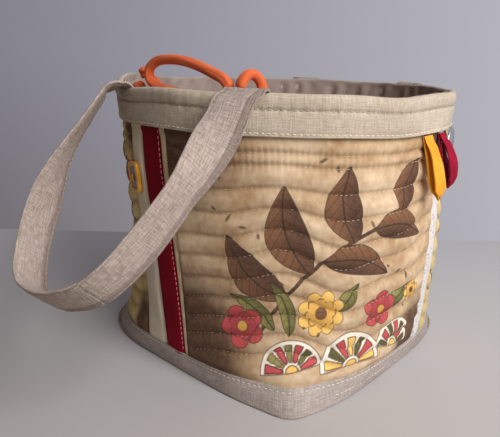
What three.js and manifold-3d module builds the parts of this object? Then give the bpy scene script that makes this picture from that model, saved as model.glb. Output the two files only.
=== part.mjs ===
// Patchwork fabric basket: square linen base, quilted round wall, linen rim with a drawstring,
// two strap handles, two hanging loops and two buttons.
// Millimetres and degrees. +Z is up, the origin is the centre of the underside.
// Azimuths are counted from +X towards +Y.
import * as THREE from 'three';
import { mergeVertices } from 'three/addons/utils/BufferGeometryUtils.js';
import Module from 'manifold-3d';

// Overall size
const BASKET_HEIGHT = 200;
const BASE_SIZE = 232; // underside, from side to side
const WALL_DIAMETER = 249; // outside of the wall where it meets the rim band
const BASE_SQUARENESS = 4.7; // superellipse exponent of the underside; 2 is a circle
const SQUARENESS_FADE = 15.5; // height over which most of the squareness is gone
const BASE_EDGE_RADIUS = 1.5;

// Layers
const CLEARANCE = 0.3;
const WALL_THICKNESS = 3; // print fabric quilted to batting
const LINING_THICKNESS = 1;
const BASE_THICKNESS = 2.4;
const BOARD_THICKNESS = 2;
const SEAM_HEIGHT = 15; // top of the linen base, where the patchwork starts

// Rim
const BAND_WIDTH = 25;
const BAND_PROUD = 3; // the band's face stands this far outside the wall
const BAND_THICKNESS = 2.4;
const HEM_DEPTH = 12; // the turned hem at the top of the band, above the drawstring casing
const BAND_EDGE_RADIUS = 2.4;
const FACING_DROP = 0.6; // the facing ends this far below the top of the band
const CASING_CORD_THICKNESS = 2.6; // the drawstring lies flat in its casing
const CASING_CORD_WIDTH = 7;
const LEAD_THICKNESS = 4; // it fills out again where it has left the casing
const SLIT_LENGTH = 26;
const SLIT_ROOM = 1.3; // above and below the drawstring, where it comes out of the facing

// Patchwork: the azimuth of each patch's first seam, at the rim band and at the base. The other half
// of the wall is the same. Side 0 is front or back, side 1 is left or right.
const PATCH_SEAMS = [
  { name: 'dotted_strip', side: 1, top: 182, bottom: 182, color: 0xe9e6dc },
  { name: 'print_panel', side: 1, top: 189, bottom: 189, color: 0xb59a72 },
  { name: 'cream_strip', side: 0, top: 253.5, bottom: 260, color: 0xe2dccb },
  { name: 'red_strip', side: 0, top: 262, bottom: 272, color: 0x7e1026 },
  { name: 'edging_strip', side: 0, top: 272.8, bottom: 282, color: 0xdccdaa },
  { name: 'print_panel', side: 0, top: 275.2, bottom: 283, color: 0xb8996c },
];
const HALF_TURN = 180;
const PATCH_STEP = 3.4; // widest facet of a patch, in degrees

// Handles
const STRAP_WIDTH = 25;
const STRAP_THICKNESS = 1.8;
const HANDLE_TURN = 4.5; // the handles sit this far round from the middle of the sides
const HANDLE_HALF_ANGLE = 25.5; // between a handle's middle and each sewn end
const HANDLE_DROP = 146;
const HANDLE_LIFT = 1; // the folded strap end stands this far above the rim
const HANDLE_OUTLINE = [ // sideways in shares of the right leg's distance, down in shares of the drop
  [1, 0], [1, 0.03], [1.04, 0.2], [1.01, 0.44], [0.88, 0.72], [0.6, 0.93], [0.14, 1.01],
  [-0.26, 0.99], [-0.62, 0.83], [-0.88, 0.6], [-1.01, 0.4], [-1.03, 0.2], [-1, 0.03], [-1, 0],
];
const TWIST_LENGTH = 75; // the strap turns from flat to upright over this length
const FRONT_TILT = 41.5; // the front handle leans out, from hanging straight down
const BACK_TILT = 15;
const CROSS_SEAM_AT = 140; // strap length from the right end to the cross seam

// Drawstring
const CORD_DIAMETER = 6.6;
const KNOT_AZIMUTH = 294;
const KNOT_INSET = 13; // from the outside of the wall to the knot's middle
const KNOT_DROP = 7; // below the top of the rim
const KNOT_SIZE = [8, 6.5, 7];
const END_KNOT_RADIUS = 4.6;
const LEAD_ANGLE = 22; // a lead leaves the casing this far round from the knot
const LEAD_DROP = 6; // the leads reach the knot this far below its middle
const LEAD_OUT = 3.5; // and this far outwards of it

// Routes of the bow, from the knot's middle
const LARGE_LOOP = [
  [-4.4, 0.2, 7], [-10.9, 1, 12.4], [-20.4, 0.6, 16.2], [-31.4, -0.3, 19.8], [-45.4, -1.5, 22.8],
  [-59.4, -2.6, 23.6], [-70.9, -3.6, 21.8], [-77.4, -4.2, 16.6], [-77.8, -4, 10.4], [-72.9, -3.6, 6.4],
  [-62.4, -2.8, 4], [-49.4, -2, 2.2], [-33.4, -1.2, 0.8], [-20.4, -1, 0.2], [-9, -1, 0.6],
];
const SMALL_LOOP = [
  [2.1, 1.9, 7.3], [3, 3.9, 12.6], [4.4, 7.8, 15.8], [6.2, 12.6, 15.6], [8, 16.6, 11.6],
  [8.8, 17.8, 5.8], [8, 16, 0], [6, 12, -3.8], [3.8, 7, -4.4],
];
const UPPER_TAIL = [
  [-6, 5.2, -3.9], [-16.4, 7.6, -5.6], [-29.4, 8, -6.2], [-45.4, 7.8, -5.8], [-60.4, 6.4, -3.6],
  [-72.4, 4.8, 1.2], [-81.4, 3.6, 7.4], [-87, 2.6, 11.6],
];
const LOWER_TAIL = [
  [-4.5, -0.1, -9], [-15.4, -2.8, -10.4], [-30.4, -4.6, -11.4], [-46.4, -5, -11.4],
  [-61.4, -4.8, -9.6], [-74.4, -3.8, -5.8], [-84.4, -2.8, -1.8], [-89.4, -2.2, 1.4],
];

// Hanging loops of folded fabric, and buttons
const LOOP_STRIP = 1.2;
const LOOP_WIDTH = 10;
const LOOP_GAP = 6.4;
const LOOP_SEWN = 0.18; // share of a loop's length that is sewn shut, from its top
const LOOP_OPEN_TO = 0.94; // share of its length where the opening ends, near the point
const LOOP_MITRE = 35; // slope of the folded point's two edges
const LOOP_POINT = 1.2; // half the width that the point has left
const YELLOW_LOOP = { azimuth: 356.5, length: 40, tilt: 12, color: 0xe0951c };
const CRIMSON_LOOP = { azimuth: 365, length: 36, tilt: 10.5, color: 0x8c1230 };
const METAL_BUTTON = {
  azimuth: 374.5,
  drop: 11, // below the rim band
  radius: 12.5,
  thickness: 1.5,
  edge: 0.4, // height of the raised edge
  shank: 2.2, // radius of the shank
};
const FRAME_BUTTON = {
  azimuth: 256.5,
  drop: 38, // below the rim band
  width: 16,
  tall: 22,
  border: 3.4,
  thickness: 3,
  lean: 8,
};

// Facets
const RING_STEPS = 64;
const WALL_LEVELS = 7;
const LEVEL_POWER = 1.9; // levels lie closer together near the base
const CORD_SIDES = 8;
const CORD_STEP = 5.2;
const STRAP_STEP = 8.5;
const LEAD_STEPS = 8;
const LOOP_STEPS = 12;
const BALL_SIDES = 12;
const ROUND_SIDES = 24;

const BAND_BOTTOM = BASKET_HEIGHT - BAND_WIDTH;
const WALL_TOP = BAND_BOTTOM - CLEARANCE;
const BOARD_TOP = BASE_THICKNESS + CLEARANCE + BOARD_THICKNESS;
const LINING_BOTTOM = BOARD_TOP + CLEARANCE;
const LINING_OUTSIDE = WALL_THICKNESS + CLEARANCE;
const LINING_INSIDE = LINING_OUTSIDE + LINING_THICKNESS;
const BAND_OUTSIDE = -BAND_PROUD;
const BAND_INSIDE = BAND_OUTSIDE + BAND_THICKNESS;
const CASING_MIDDLE = BAND_INSIDE + CLEARANCE + CASING_CORD_THICKNESS / 2;
const HEM_INSIDE = CASING_MIDDLE + CASING_CORD_THICKNESS / 2 + CLEARANCE;
const FACING_OUTSIDE = HEM_INSIDE + CLEARANCE;
const HEM_BOTTOM = BASKET_HEIGHT - HEM_DEPTH;
const CASING_HEIGHT = (BAND_BOTTOM + HEM_BOTTOM) / 2;
const POCKET_INSIDE = FACING_OUTSIDE - 3 * CLEARANCE; // the hem's inner fabric, beside a pocket
const POCKET_RADIUS = WALL_DIAMETER / 2 - POCKET_INSIDE + CLEARANCE + STRAP_THICKNESS / 2;

const wasm = await Module();
wasm.setup();
const { degToRad: rad, radToDeg: deg, lerp } = THREE.MathUtils;
const smooth = (t) => THREE.MathUtils.smoothstep(t, 0, 1);

// The straps cross the band at this distance from a handle's middle, and bend just outside it.
const RIM_RADIUS = WALL_DIAMETER / 2 + BAND_PROUD;
const HANDLE_SIDE = RIM_RADIUS * Math.sin(rad(HANDLE_HALF_ANGLE));
const BAND_OUT_THERE = Math.sqrt(RIM_RADIUS ** 2 - (HANDLE_SIDE - STRAP_WIDTH / 2) ** 2);
const HINGE_OUT = BAND_OUT_THERE + CLEARANCE + STRAP_THICKNESS / 2;

// The wall's outside is a superellipse that turns from square to round as it rises and flares.
function wallRadius(theta, z, inset = 0) {
  const rise = Math.min(z / BAND_BOTTOM, 1);
  const exponent = 2 + (BASE_SQUARENESS - 2) * Math.exp(-z / SQUARENESS_FADE);
  const half = lerp(BASE_SIZE / 2, WALL_DIAMETER / 2, 1 - (1 - rise) ** 2);
  const c = Math.abs(Math.cos(theta)) ** exponent;
  const s = Math.abs(Math.sin(theta)) ** exponent;
  return half * (c + s) ** (-1 / exponent) - inset;
}

function levelsBetween(low, high) {
  const share = (i) => (i / WALL_LEVELS) ** LEVEL_POWER;
  const all = Array.from({ length: WALL_LEVELS }, (_, i) => BAND_BOTTOM * share(i));
  const spare = 2 * CLEARANCE;
  return [low, ...all.filter((z) => z > low + spare && z < high - spare), high];
}

// Joins a grid of points into one closed body. Rows are sections; each row is a closed loop.
// Every four-cornered face is split from its low corner on one row to its high corner on the next,
// so that layers lie parallel. An open body gets a cap on its first and last row.
function loft(rows, closed) {
  const count = rows[0].length;
  const points = rows.flat();
  const faces = [];
  const last = closed ? rows.length : rows.length - 1;
  for (let i = 0; i < last; i++) {
    const a = i * count;
    const b = ((i + 1) % rows.length) * count;
    for (let j = 0; j < count; j++) {
      const k = (j + 1) % count;
      if (points[a + k].z >= points[a + j].z) {
        faces.push([a + j, b + j, b + k], [a + j, b + k, a + k]);
      } else {
        faces.push([a + j, b + j, a + k], [b + j, b + k, a + k]);
      }
    }
  }
  if (!closed) {
    const end = (rows.length - 1) * count;
    for (let j = 0; j < count / 2 - 1; j++) {
      const k = count - 1 - j;
      faces.push([j, j + 1, k - 1], [j, k - 1, k]);
      faces.push([end + j, end + k - 1, end + j + 1], [end + j, end + k, end + k - 1]);
    }
  }
  return closedGeometry(points, faces);
}

// Drops faces that shrank to a line at the axis, and turns the body so that its faces point out.
function closedGeometry(points, faces) {
  const corners = faces.flat().flatMap((i) => points[i].toArray());
  const geometry = new THREE.BufferGeometry();
  geometry.setAttribute('position', new THREE.Float32BufferAttribute(corners, 3));
  const merged = mergeVertices(geometry, 1e-3);
  const index = merged.index.array;
  const kept = [];
  for (let i = 0; i < index.length; i += 3) {
    const [a, b, c] = index.slice(i, i + 3);
    if (a !== b && b !== c && c !== a) kept.push(a, b, c);
  }
  if (signedVolume(merged.attributes.position, kept) < 0) kept.reverse();
  merged.setIndex(kept);
  merged.computeVertexNormals();
  return merged;
}

function signedVolume(position, index) {
  const [a, b, c] = [new THREE.Vector3(), new THREE.Vector3(), new THREE.Vector3()];
  let sum = 0;
  for (let i = 0; i < index.length; i += 3) {
    a.fromBufferAttribute(position, index[i]);
    b.fromBufferAttribute(position, index[i + 1]);
    c.fromBufferAttribute(position, index[i + 2]);
    sum += a.dot(b.cross(c));
  }
  return sum;
}

// A body that goes all the way round the basket: profile points are [inset from the wall, height];
// an inset of null lies on the axis.
function ringBody(profile) {
  const rows = Array.from({ length: RING_STEPS }, (_, i) => {
    const theta = (i / RING_STEPS) * 2 * Math.PI;
    return profile.map(([inset, z]) => {
      const r = inset === null ? 0 : wallRadius(theta, z, inset);
      return new THREE.Vector3(r * Math.cos(theta), r * Math.sin(theta), z);
    });
  });
  return loft(rows, true);
}

function layerProfile(outside, inside, low, high) {
  const levels = levelsBetween(low, high);
  const up = levels.map((z) => [outside, z]);
  const down = [...levels].reverse().map((z) => [inside, z]);
  return [...up, ...down];
}

// Solids for cutting: three.js geometry to and from a solid.
function toSolid(geometry) {
  const bare = geometry.clone();
  for (const name of ['normal', 'uv']) bare.deleteAttribute(name);
  const merged = mergeVertices(bare, 1e-3);
  const vertProperties = merged.attributes.position.array;
  const triVerts = new Uint32Array(merged.index.array);
  return new wasm.Manifold(new wasm.Mesh({ numProp: 3, vertProperties, triVerts }));
}

function fromSolid(solid) {
  const mesh = solid.getMesh();
  const geometry = new THREE.BufferGeometry();
  geometry.setAttribute('position', new THREE.BufferAttribute(mesh.vertProperties, 3));
  geometry.setIndex(new THREE.BufferAttribute(mesh.triVerts, 1));
  geometry.computeVertexNormals();
  return geometry;
}

function cut(geometry, tools) {
  return fromSolid(tools.reduce((solid, tool) => solid.subtract(toSolid(tool)), toSolid(geometry)));
}

function fabric(color, roughness = 0.95) {
  return new THREE.MeshStandardMaterial({ color, roughness, metalness: 0 });
}

function addMesh(parent, name, geometry, material) {
  const mesh = new THREE.Mesh(geometry, material);
  mesh.name = name;
  parent.add(mesh);
  return mesh;
}

const basket = new THREE.Group();
const LINEN = fabric(0xa89c8d);
const LINING = fabric(0x9a8f88);

// Base: a linen tray with a stiffening board, and the lining's floor on top.
function addBase() {
  const upstand = levelsBetween(BASE_EDGE_RADIUS, SEAM_HEIGHT);
  const inner = levelsBetween(BASE_THICKNESS, SEAM_HEIGHT).reverse();
  const tray = [
    [null, 0],
    [BASE_EDGE_RADIUS, 0],
    [BASE_EDGE_RADIUS * (1 - Math.SQRT1_2), BASE_EDGE_RADIUS * (1 - Math.SQRT1_2)],
    ...upstand.map((z) => [0, z]),
    ...inner.map((z) => [WALL_THICKNESS, z]),
    [null, BASE_THICKNESS],
  ];
  addMesh(basket, 'base_outer', ringBody(tray), LINEN);
  const slab = (inset, low, thickness) => ringBody([
    [null, low], [inset, low], [inset, low + thickness], [null, low + thickness],
  ]);
  const boardBottom = BASE_THICKNESS + CLEARANCE;
  const board = slab(LINING_OUTSIDE, boardBottom, BOARD_THICKNESS);
  addMesh(basket, 'base_board', board, fabric(0x8c7f6c, 0.8));
  const floor = slab(LINING_INSIDE + CLEARANCE, LINING_BOTTOM, LINING_THICKNESS);
  addMesh(basket, 'lining_floor', floor, LINING);
}

// Patchwork wall: each patch is a curved wall piece between two slanting seams.
function patchBody(from, to) {
  const levels = levelsBetween(SEAM_HEIGHT + CLEARANCE, WALL_TOP);
  const span = Math.max(to.top - from.top, to.bottom - from.bottom);
  const steps = Math.ceil(span / PATCH_STEP);
  const halfGap = CLEARANCE / 2;
  const edge = (seam, z, side) => {
    const theta = rad(lerp(seam.bottom, seam.top, z / BAND_BOTTOM));
    return theta + (side * halfGap) / wallRadius(theta, z, WALL_THICKNESS);
  };
  const row = (t) => {
    const at = (inset) => (z) => {
      const theta = lerp(edge(from, z, 1), edge(to, z, -1), t);
      const r = wallRadius(theta, z, inset);
      return new THREE.Vector3(r * Math.cos(theta), r * Math.sin(theta), z);
    };
    return [...levels.map(at(0)), ...[...levels].reverse().map(at(WALL_THICKNESS))];
  };
  return loft(Array.from({ length: steps + 1 }, (_, i) => row(i / steps)), false);
}

function addPatchwork() {
  const first = PATCH_SEAMS[0];
  const end = { top: first.top + HALF_TURN, bottom: first.bottom + HALF_TURN };
  [['front', 'left'], ['back', 'right']].forEach((sides, half) => {
    PATCH_SEAMS.forEach((seam, i) => {
      const patch = patchBody(seam, PATCH_SEAMS[i + 1] ?? end);
      const mesh = addMesh(basket, `${sides[seam.side]}_${seam.name}`, patch, fabric(seam.color));
      mesh.rotation.z = rad(half * HALF_TURN);
    });
  });
  const lining = ringBody(layerProfile(LINING_OUTSIDE, LINING_INSIDE, LINING_BOTTOM, WALL_TOP));
  addMesh(basket, 'lining_wall', lining, LINING);
}

// Rim: the band is thin over the drawstring casing and thick in the hem above it, where four
// pockets hold the sewn ends of the straps. The facing closes the casing on the inside.
function handleEndAzimuths() {
  const middles = [270 + HANDLE_TURN, 90 + HANDLE_TURN];
  return middles.flatMap((m) => [m - HANDLE_HALF_ANGLE, m + HANDLE_HALF_ANGLE]);
}

function boxAt(azimuth, radius, z, radial, tangential, height) {
  const box = new THREE.BoxGeometry(radial, tangential, height);
  box.translate(radius, 0, z);
  box.rotateZ(rad(azimuth));
  return box;
}

function addRim() {
  const edge = BAND_EDGE_RADIUS;
  const rounding = [0, 30, 60, 90].map((a) => [
    BAND_OUTSIDE + edge * (1 - Math.cos(rad(a))),
    BASKET_HEIGHT - edge * (1 - Math.sin(rad(a))),
  ]);
  const band = ringBody([
    [BAND_OUTSIDE, BAND_BOTTOM],
    ...rounding,
    [HEM_INSIDE - FACING_DROP, BASKET_HEIGHT],
    [HEM_INSIDE, BASKET_HEIGHT - FACING_DROP],
    [HEM_INSIDE, HEM_BOTTOM],
    [BAND_INSIDE, HEM_BOTTOM],
    [BAND_INSIDE, BAND_BOTTOM],
  ]);
  const radial = STRAP_THICKNESS + 2 * CLEARANCE;
  const width = STRAP_WIDTH + 2 * CLEARANCE;
  const pockets = handleEndAzimuths().map((azimuth) => {
    return boxAt(azimuth, POCKET_RADIUS, BASKET_HEIGHT, radial, width, 2 * HEM_DEPTH - 2 * CLEARANCE);
  });
  addMesh(basket, 'rim_band', cut(band, pockets), fabric(0xb3a78e));

  const facingTop = BASKET_HEIGHT - FACING_DROP;
  const facing = ringBody([
    [FACING_OUTSIDE, BAND_BOTTOM],
    [FACING_OUTSIDE, facingTop],
    [FACING_OUTSIDE + LINING_THICKNESS, facingTop],
    [FACING_OUTSIDE + LINING_THICKNESS, BAND_BOTTOM],
  ]);
  const slitTurn = LEAD_ANGLE - deg(SLIT_LENGTH / WALL_DIAMETER);
  const slitRadius = WALL_DIAMETER / 2 - FACING_OUTSIDE;
  const slitHeight = CASING_CORD_WIDTH + 2 * SLIT_ROOM;
  const through = 4 * LINING_THICKNESS;
  const slits = [-1, 1].map((side) => {
    const azimuth = KNOT_AZIMUTH + side * slitTurn;
    return boxAt(azimuth, slitRadius, CASING_HEIGHT, through, SLIT_LENGTH, slitHeight);
  });
  addMesh(basket, 'rim_facing', cut(facing, slits), LINING);
}

// A flat strap or cord: each frame has a middle point, a width and a thickness direction.
function stripBody(frames) {
  return loft(frames.map(({ at, across, normal, width, thickness }) => {
    const [w, h] = [width / 2, thickness / 2];
    const bevel = h / 2;
    const half = [[w, -bevel], [w, bevel], [w - bevel, h], [bevel - w, h]];
    const section = [...half, ...half.map(([x, y]) => [-x, -y])];
    return section.map(([x, y]) => at.clone().addScaledVector(across, x).addScaledVector(normal, y));
  }), false);
}

// Handle: a loop that hangs in one plane, from the hinge line through both sewn ends.
// X runs along the hinge, -Z down the loop and -Y out of the plane, away from the basket.
function handleFrame(curve, length, distance) {
  const t = distance / length;
  const at = curve.getPointAt(THREE.MathUtils.clamp(t, 0, 1));
  const along = curve.getTangentAt(THREE.MathUtils.clamp(t, 0, 1));
  const out = new THREE.Vector3(0, -1, 0);
  const side = new THREE.Vector3().crossVectors(out, along).negate();
  const nearest = Math.min(distance, length - distance);
  const turn = rad(90 * smooth(nearest / TWIST_LENGTH));
  const across = side.clone().multiplyScalar(Math.cos(turn)).addScaledVector(out, Math.sin(turn));
  const normal = out.clone().multiplyScalar(Math.cos(turn)).addScaledVector(side, -Math.sin(turn));
  return { at, across, normal, width: STRAP_WIDTH, thickness: STRAP_THICKNESS };
}

// The end that bends at the rim has a rounded nose, centred on the hinge line.
function noseFrames(frame, towards) {
  const nose = STRAP_THICKNESS / 2;
  return [75, 40, 0].map((a) => ({
    ...frame,
    at: frame.at.clone().addScaledVector(towards, nose * Math.sin(rad(a))),
    thickness: STRAP_THICKNESS * Math.cos(rad(a)),
  }));
}

function strapBody(curve, from, to) {
  const length = curve.getLength();
  const steps = Math.ceil((to - from) / STRAP_STEP);
  const distances = Array.from({ length: steps + 1 }, (_, i) => lerp(from, to, i / steps));
  const frames = distances.map((d) => handleFrame(curve, length, d));
  const up = new THREE.Vector3(0, 0, 1);
  if (from === 0) frames.splice(0, 1, ...noseFrames(frames[0], up));
  if (to === length) frames.splice(-1, 1, ...noseFrames(frames.at(-1), up).reverse());
  return stripBody(frames);
}

// The sewn end comes up out of its pocket in the rim and folds out over the top of the band.
function sewnEndBody(side) {
  const turn = rad(HANDLE_HALF_ANGLE);
  const pocket = new THREE.Vector3(side * Math.sin(turn), -Math.cos(turn), 0).multiplyScalar(POCKET_RADIUS);
  const nose = STRAP_THICKNESS / 2 + CLEARANCE;
  const tip = new THREE.Vector3(side * HANDLE_SIDE, -(HINGE_OUT - nose), 0);
  const reach = tip.clone().sub(pocket);
  const out = reach.clone().normalize();
  const top = BASKET_HEIGHT + HANDLE_LIFT + STRAP_THICKNESS / 2 - CLEARANCE;
  const bend = STRAP_THICKNESS;
  const start = new THREE.Vector3(Math.cos(turn), side * Math.sin(turn), 0);
  const along = new THREE.Vector3(1, 0, 0);
  const up = new THREE.Vector3(0, 0, 1);
  const frame = (distance, z, angle) => {
    const across = start.clone().lerp(along, distance / reach.length()).normalize();
    const normal = out.clone().multiplyScalar(Math.cos(angle)).addScaledVector(up, Math.sin(angle));
    const at = pocket.clone().addScaledVector(out, distance).setZ(z);
    return { at, across, normal, width: STRAP_WIDTH, thickness: STRAP_THICKNESS };
  };
  const inPocket = frame(0, HEM_BOTTOM + 2 * CLEARANCE, Math.PI);
  const bends = [0, 30, 60, 90].map(rad).map((angle) => {
    const distance = bend * (1 - Math.cos(angle));
    return frame(distance, top - bend * (1 - Math.sin(angle)), Math.PI - angle);
  });
  return stripBody([inPocket, ...bends, frame(reach.length(), top, Math.PI / 2)]);
}

function addHandle(name, azimuth, tilt) {
  const turned = new THREE.Group();
  turned.rotation.z = rad(azimuth + HANDLE_TURN);
  basket.add(turned);
  addMesh(turned, `${name}_handle_right_end`, sewnEndBody(1), LINEN);
  addMesh(turned, `${name}_handle_left_end`, sewnEndBody(-1), LINEN);

  const hinged = new THREE.Group();
  const nose = STRAP_THICKNESS / 2;
  hinged.position.set(0, -HINGE_OUT, BASKET_HEIGHT + HANDLE_LIFT + STRAP_THICKNESS + nose);
  hinged.rotation.x = rad(-tilt);
  turned.add(hinged);
  const points = HANDLE_OUTLINE.map(([side, drop]) => {
    return new THREE.Vector3(side * HANDLE_SIDE, 0, -drop * HANDLE_DROP);
  });
  const curve = new THREE.CatmullRomCurve3(points, false, 'centripetal');
  const length = curve.getLength();
  const rightEnd = CROSS_SEAM_AT - CLEARANCE / 2;
  const leftEnd = CROSS_SEAM_AT + CLEARANCE / 2;
  addMesh(hinged, `${name}_handle_right_strap`, strapBody(curve, 0, rightEnd), LINEN);
  addMesh(hinged, `${name}_handle_left_strap`, strapBody(curve, leftEnd, length), LINEN);
}

// Drawstring: flat in the casing, with two leads that come out of the slits to a bow.
const ORANGE = fabric(0xd9582a);
const KNOT_RADIUS = WALL_DIAMETER / 2 - KNOT_INSET;
const KNOT_HEIGHT = BASKET_HEIGHT - KNOT_DROP;

function polar(azimuth, radius, z) {
  return new THREE.Vector3(radius * Math.cos(rad(azimuth)), radius * Math.sin(rad(azimuth)), z);
}

function casingFrame(azimuth, radius, z, width, thickness) {
  return {
    at: polar(azimuth, radius, z),
    across: new THREE.Vector3(0, 0, 1),
    normal: polar(azimuth, 1, 0),
    width,
    thickness,
  };
}

function addCasingCord() {
  const from = KNOT_AZIMUTH + LEAD_ANGLE;
  const to = KNOT_AZIMUTH + 360 - LEAD_ANGLE;
  const casingRadius = WALL_DIAMETER / 2 - CASING_MIDDLE;
  const steps = Math.round((RING_STEPS * (to - from)) / 360);
  const section = [CASING_CORD_WIDTH, CASING_CORD_THICKNESS];
  const ring = Array.from({ length: steps + 1 }, (_, i) => {
    return casingFrame(lerp(from, to, i / steps), casingRadius, CASING_HEIGHT, ...section);
  });
  addMesh(basket, 'drawstring_in_casing', stripBody(ring), ORANGE);

  const knotSide = deg((KNOT_SIZE[0] + CLEARANCE) / KNOT_RADIUS);
  const gap = deg(CLEARANCE / casingRadius);
  for (const [name, side] of [['left', -1], ['right', 1]]) {
    const frames = Array.from({ length: LEAD_STEPS + 1 }, (_, i) => {
      const t = i / LEAD_STEPS;
      const free = smooth(2 * t - 1);
      const azimuth = KNOT_AZIMUTH + side * lerp(LEAD_ANGLE - gap, knotSide, t);
      const radius = lerp(casingRadius, KNOT_RADIUS + LEAD_OUT, t);
      const z = lerp(CASING_HEIGHT, KNOT_HEIGHT - LEAD_DROP, free);
      const thickness = lerp(CASING_CORD_THICKNESS, LEAD_THICKNESS, free);
      return casingFrame(azimuth, radius, z, CASING_CORD_WIDTH, thickness);
    });
    addMesh(basket, `drawstring_${name}_lead`, stripBody(frames), ORANGE);
  }
}

function cordBody(points) {
  const curve = new THREE.CatmullRomCurve3(points, false, 'centripetal');
  const section = new THREE.Shape().absarc(0, 0, CORD_DIAMETER / 2, 0, 2 * Math.PI);
  const steps = Math.ceil(curve.getLength() / CORD_STEP);
  return new THREE.ExtrudeGeometry(section, { extrudePath: curve, steps, curveSegments: CORD_SIDES });
}

function ellipsoid(size, at, azimuth = 0) {
  const ball = new THREE.SphereGeometry(1, BALL_SIDES, (2 * BALL_SIDES) / 3);
  ball.scale(...size);
  ball.rotateZ(rad(azimuth));
  ball.translate(at.x, at.y, at.z);
  return ball;
}

function addBow() {
  const knot = polar(KNOT_AZIMUTH, KNOT_RADIUS, KNOT_HEIGHT);
  const routed = (route) => route.map((point) => new THREE.Vector3(...point).add(knot));
  addMesh(basket, 'drawstring_knot', ellipsoid(KNOT_SIZE, knot, KNOT_AZIMUTH + 90), ORANGE);
  addMesh(basket, 'drawstring_large_loop', cordBody(routed(LARGE_LOOP)), ORANGE);
  addMesh(basket, 'drawstring_small_loop', cordBody(routed(SMALL_LOOP)), ORANGE);
  for (const [name, route] of [['upper', UPPER_TAIL], ['lower', LOWER_TAIL]]) {
    const points = routed(route);
    const [before, end] = points.slice(-2);
    const away = end.clone().sub(before).normalize();
    const centre = end.clone().addScaledVector(away, END_KNOT_RADIUS + CLEARANCE);
    addMesh(basket, `drawstring_${name}_tail`, cordBody(points), ORANGE);
    const size = [END_KNOT_RADIUS, END_KNOT_RADIUS, END_KNOT_RADIUS];
    addMesh(basket, `drawstring_${name}_end_knot`, ellipsoid(size, centre), ORANGE);
  }
}

// Hanging loop: a folded strip, sewn shut at the top, open in the middle, mitred to a point below.
function loopBody(length) {
  const bulge = (t) => (LOOP_GAP / 2) * Math.sin(Math.PI * t ** 1.25) ** 0.75;
  const middle = Array.from({ length: LOOP_STEPS - 1 }, (_, i) => {
    const t = (i + 1) / LOOP_STEPS;
    return [bulge(t), -lerp(LOOP_SEWN, LOOP_OPEN_TO, t) * length];
  });
  const bothSides = (right) => {
    const left = right.slice(1, -1).reverse().map(([x, y]) => [-x, y]);
    return [...right, ...left].map(([x, y]) => new THREE.Vector2(x, y));
  };
  const outside = middle.map(([x, y]) => [x + LOOP_STRIP, y]);
  const outline = bothSides([[0, LOOP_STRIP], [LOOP_STRIP, 0], ...outside, [0, -length]]);
  const hole = bothSides([[0, -LOOP_SEWN * length], ...middle, [0, -LOOP_OPEN_TO * length]]);
  const shape = new THREE.Shape(outline.reverse());
  shape.holes.push(new THREE.Path(hole));
  const strip = new THREE.ExtrudeGeometry(shape, { depth: LOOP_WIDTH, bevelEnabled: false });
  strip.rotateX(Math.PI / 2);
  strip.translate(0, LOOP_WIDTH / 2, 0);

  // The mitre takes both lower corners off, seen square to the wall.
  const corners = [-1, 1].map((side) => {
    const corner = new THREE.BoxGeometry(4 * LOOP_GAP, LOOP_WIDTH, LOOP_WIDTH);
    corner.translate(0, (side * LOOP_WIDTH) / 2, -LOOP_WIDTH / 2);
    corner.rotateX(side * rad(LOOP_MITRE));
    corner.translate(0, side * LOOP_POINT, -length);
    return corner;
  });
  return cut(strip, corners);
}

function addLoop(name, { azimuth, length, tilt, color }) {
  const turned = new THREE.Group();
  turned.rotation.z = rad(azimuth);
  basket.add(turned);
  const loop = addMesh(turned, name, loopBody(length), fabric(color));
  const out = WALL_DIAMETER / 2 + CLEARANCE + LOOP_STRIP;
  loop.position.set(out, 0, BAND_BOTTOM - CLEARANCE - LOOP_STRIP);
  loop.rotation.y = rad(-tilt);
}

// Buttons lie against the wall; X points out of the wall.
function wallGroup(azimuth, z) {
  const theta = rad(azimuth);
  const step = 1;
  const slope = (wallRadius(theta, z + step) - wallRadius(theta, z)) / step;
  const turned = new THREE.Group();
  turned.rotation.z = theta;
  const group = new THREE.Group();
  group.position.set(wallRadius(theta, z), 0, z);
  group.rotation.y = Math.atan(slope);
  turned.add(group);
  basket.add(turned);
  return group;
}

function addMetalButton() {
  const { azimuth, drop, radius, thickness, edge, shank } = METAL_BUTTON;
  const group = wallGroup(azimuth, BAND_BOTTOM - drop);
  const standoff = BAND_PROUD + 2 * CLEARANCE;
  const metal = new THREE.MeshStandardMaterial({ color: 0xb9bcc0, roughness: 0.3, metalness: 0.9 });
  const post = new THREE.CylinderGeometry(shank, shank, standoff - 2 * CLEARANCE, ROUND_SIDES / 2);
  post.rotateZ(-Math.PI / 2);
  post.translate(standoff / 2, 0, 0);
  addMesh(group, 'metal_button_shank', post, metal);
  const profile = [
    [0, 0],
    [radius - edge, 0],
    [radius, edge],
    [radius, thickness],
    [radius - 2 * edge, thickness + edge],
    [radius - 4 * edge, thickness],
    [0, thickness],
  ];
  const section = profile.map(([x, y]) => new THREE.Vector2(x, y));
  const disc = new THREE.LatheGeometry(section, ROUND_SIDES);
  disc.rotateZ(-Math.PI / 2);
  disc.translate(standoff, 0, 0);
  addMesh(group, 'metal_button', disc, metal);
}

function roundedRectangle(Path, width, tall, corner) {
  const [x, y] = [width / 2, tall / 2];
  const path = new Path();
  path.moveTo(x, corner - y);
  path.lineTo(x, y - corner);
  path.absarc(x - corner, y - corner, corner, 0, Math.PI / 2);
  path.absarc(corner - x, y - corner, corner, Math.PI / 2, Math.PI);
  path.absarc(corner - x, corner - y, corner, Math.PI, 1.5 * Math.PI);
  path.absarc(x - corner, corner - y, corner, 1.5 * Math.PI, 2 * Math.PI);
  return path;
}

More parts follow.
